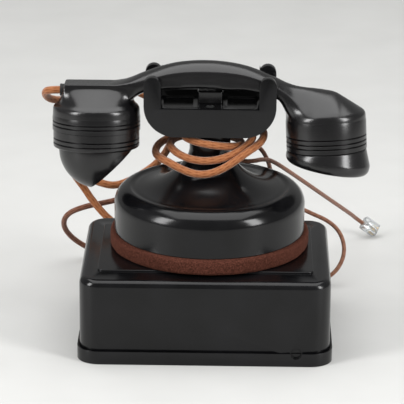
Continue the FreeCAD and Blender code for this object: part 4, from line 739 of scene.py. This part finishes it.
def hear_cup():
    """The receiver's cup with its bore: a drum with a round shoulder under a dome."""
    points = profile((0, HEAR_CEILING), (HEAR_BORE_R, HEAR_CEILING), (HEAR_BORE_R, HEAR_BOTTOM),
                     (HEAR_R, HEAR_BOTTOM), (HEAR_R, HEAR_WALL_TOP), HEAR_SHOULDER, HEAR_DOME_FOOT, HEAR_DOME)
    return turned_piece("hear_cup", points, AT_HEAR, closed=False)


def soften(piece, passes, weight=None):
    """Smooth a mesh, everywhere or by a weight of each vertex's place in the handset's own frame."""
    group = ""
    if weight:
        back = HANDSET.inverted()
        group = "soft"
        vertices = piece.vertex_groups.new(name=group)
        for v in piece.data.vertices:
            vertices.add([v.index], weight(back @ v.co / MM), "REPLACE")
    apply_modifier(piece, "soften", "SMOOTH", factor=SOFTEN_STEP, iterations=passes, vertex_group=group)
    if weight:
        piece.vertex_groups.clear()


def near(value, middle, reach):
    """1 at the middle, falling evenly to 0 at the reach."""
    return max(0.0, 1.0 - abs(value - middle) / reach)


def web_weight(p):
    """How far a place lies in the webs between handle and cups, on a shoulder or on the receiver's hips."""
    clear = max(0.0, min(1.0, (p.z - WEB_FOOT) / WEB_FADE))
    shoulder = TALK_SHOULDER_SOFT * near(p.z, *TALK_SHOULDER) * (p.x < TALK_SHOULDER_FROM)
    hip = HIP_SOFT * near(p.x, *HIP)
    return clear * max(near(p.x, *HEAR_WEB), near(p.x, *TALK_WEB), shoulder, hip)


def handset_body():
    """The moulded handle: its forms run softly into each other, so a joined copy is remeshed and smoothed."""
    body = softened_copy("handset_handle", "handset_moulding")
    only(body)
    bpy.ops.object.mode_set(mode="EDIT")
    bpy.ops.mesh.select_all(action="SELECT")
    bpy.ops.mesh.bisect(plane_co=HANDSET @ Vector((CUT_X * MM, 0, 0)), plane_no=(1, 0, 0), clear_outer=True,
                        use_fill=True)
    bpy.ops.object.mode_set(mode="OBJECT")
    forms = (grip_bar(), hear_cup())
    only(body)
    for form in forms:
        form.select_set(True)
    bpy.ops.object.join()
    apply_modifier(body, "remesh", "REMESH", mode="VOXEL", voxel_size=BODY_NET * MM)
    soften(body, BODY_PASSES)
    soften(body, WEB_PASSES, web_weight)
    sink_wall(body, TALK_R, TALK_BAND_TOP, TALK_SPLIT, AT_TALK)
    sink_wall(body, HEAR_R, HEAR_BAND_TOP, HEAR_BOTTOM, AT_HEAR)
    only(body)
    bpy.ops.object.shade_smooth()
    dress(body, "black_bakelite", "handset", ("handset_handle",))


def sink_wall(body, radius, top, bottom, place):
    """Draw a cup's wall in behind its groove band."""
    back = place.inverted()
    for v in body.data.vertices:
        at = back @ v.co / MM
        reach = math.hypot(at.x, at.y)
        behind = bottom - SINK_PAST_END < at.z < top - SINK_BELOW_TOP
        if behind and abs(reach - radius) < SINK_DEPTH:
            inward = (radius - SINK_DEPTH) / reach
            v.co = place @ (Vector((at.x * inward, at.y * inward, at.z)) * MM)


def grooved(radius, bottom, heights):
    """Profile points down a wall with V grooves at the given heights above its bottom, top first."""
    points = []
    for h in heights:
        points += [(radius, bottom + h + GROOVE_HALF), (radius - GROOVE_DEPTH, bottom + h),
                   (radius, bottom + h - GROOVE_HALF)]
    return points


def groove_band(name, radius, top, heights, bottom, place):
    """A thin band round a cup's drum with V grooves; its top runs out into the drum."""
    wall = radius + BAND_PROUD
    inner = radius - BAND_T
    points = [(inner, top), (radius - BAND_TOP_IN, top), (wall, top - BAND_RUN_OUT),
              *grooved(wall, bottom, heights), (wall, bottom), (inner, bottom)]
    band = turned_piece(name, points, place)
    smooth(band, SMOOTH_GROOVED)
    dress(band, "black_bakelite", "handset")


def mouthpiece_ring():
    """The grooved ring under the transmitter's cup, with a thin lip that holds the horn."""
    top = TALK_SPLIT - RING_GAP
    wall = TALK_R - RING_GAP
    lip = TALK_BOTTOM + RING_LIP_T
    points = [(RING_BORE_R, top), (wall, top), *grooved(wall, TALK_BOTTOM, RING_GROOVES)]
    points += profile((wall, TALK_BOTTOM + RING_EDGE),
                      ((wall - RING_CUT, TALK_BOTTOM + RING_CUT), (wall - RING_EDGE, TALK_BOTTOM), 5),
                      (RING_LIP_R, TALK_BOTTOM), (RING_LIP_R, lip), (RING_BORE_R, lip))
    ring = turned_piece("talk_ring", points, AT_TALK)
    smooth(ring, SMOOTH_GROOVED)
    dress(ring, "black_bakelite", "handset", ("mouthpiece_ring",))


def handset():
    """The moulding, the grooves round its cups, and the pieces screwed into its ends."""
    handset_body()
    groove_band("talk_grooves", TALK_R, TALK_BAND_TOP, TALK_GROOVES, TALK_SPLIT, AT_TALK)
    groove_band("hear_grooves", HEAR_R, HEAR_BAND_TOP, HEAR_GROOVES, HEAR_BOTTOM, AT_HEAR)
    mouthpiece_ring()
    horn = softened_copy("mouthpiece", "talk_horn", HORN_EDGE, 3, HORN_SHARP)
    dress(horn, "black_bakelite", "handset", ("mouthpiece",))
    cap = softened_copy("receiver_cap", "ear_cap")
    apply_modifier(cap, "remesh", "REMESH", mode="VOXEL", voxel_size=CAP_NET * MM)
    soften(cap, CAP_PASSES)
    smooth(cap, SMOOTH_SOFT)
    dress(cap, "black_bakelite", "handset", ("receiver_cap",))


# Stage, in metres

FLOOR_SIZE = 6.0
SURROUND, SURROUND_STRENGTH = "#d9d9d8", 0.42
# Lamps: place, target, width, height and watts
LAMPS = (
    ("top_box", (0.0, 0.2, 1.6), (0.0, 0.2, 0.0), 1.9, 1.9, 31.0),
    ("left_box", (-1.3, -0.75, 0.8), (0.0, 0.0, 0.12), 0.45, 1.0, 21.0),
    ("right_box", (1.25, -0.8, 0.75), (0.0, 0.0, 0.12), 0.4, 1.0, 20.0),
)


def stage():
    """A pale floor, soft studio lamps and an even surround."""
    bpy.ops.mesh.primitive_plane_add(size=FLOOR_SIZE, location=(0, 0, 0))
    floor = bpy.context.object
    floor.name = "floor"
    material, tree, shader, at = new_material("pale_floor", Roughness=0.6)
    speck = add_node(tree, "ShaderNodeTexNoise", at, {"Scale": per(60.0), "Detail": 2.0})
    colour = add_node(tree, "ShaderNodeValToRGB", {"Fac": speck.outputs["Fac"]},
                      stops=((0.2, "#bfbfbd"), (0.8, "#c5c5c3")))
    feed(tree, shader, Base_Color=colour.outputs["Color"])
    floor.data.materials.append(material)
    world = bpy.data.worlds.new("surround")
    bpy.context.scene.world = world
    world.use_nodes = True
    back = world.node_tree.nodes["Background"]
    back.inputs["Color"].default_value = linear(SURROUND)
    back.inputs["Strength"].default_value = SURROUND_STRENGTH
    for name, place, target, width, height, watts in LAMPS:
        light = bpy.data.lights.new(name, "AREA")
        light.shape = "RECTANGLE"
        light.size = width
        light.size_y = height
        light.energy = watts
        lamp = bpy.data.objects.new(name, light)
        lamp.location = place
        lamp.rotation_euler = (Vector(target) - Vector(place)).to_track_quat("-Z", "Y").to_euler()
        bpy.context.scene.collection.objects.link(lamp)
    bpy.context.scene.view_settings.view_transform = "Standard"


add_camera()
dress_nodes()
add_cords()
bell_box()
stand()
handset()
stage()
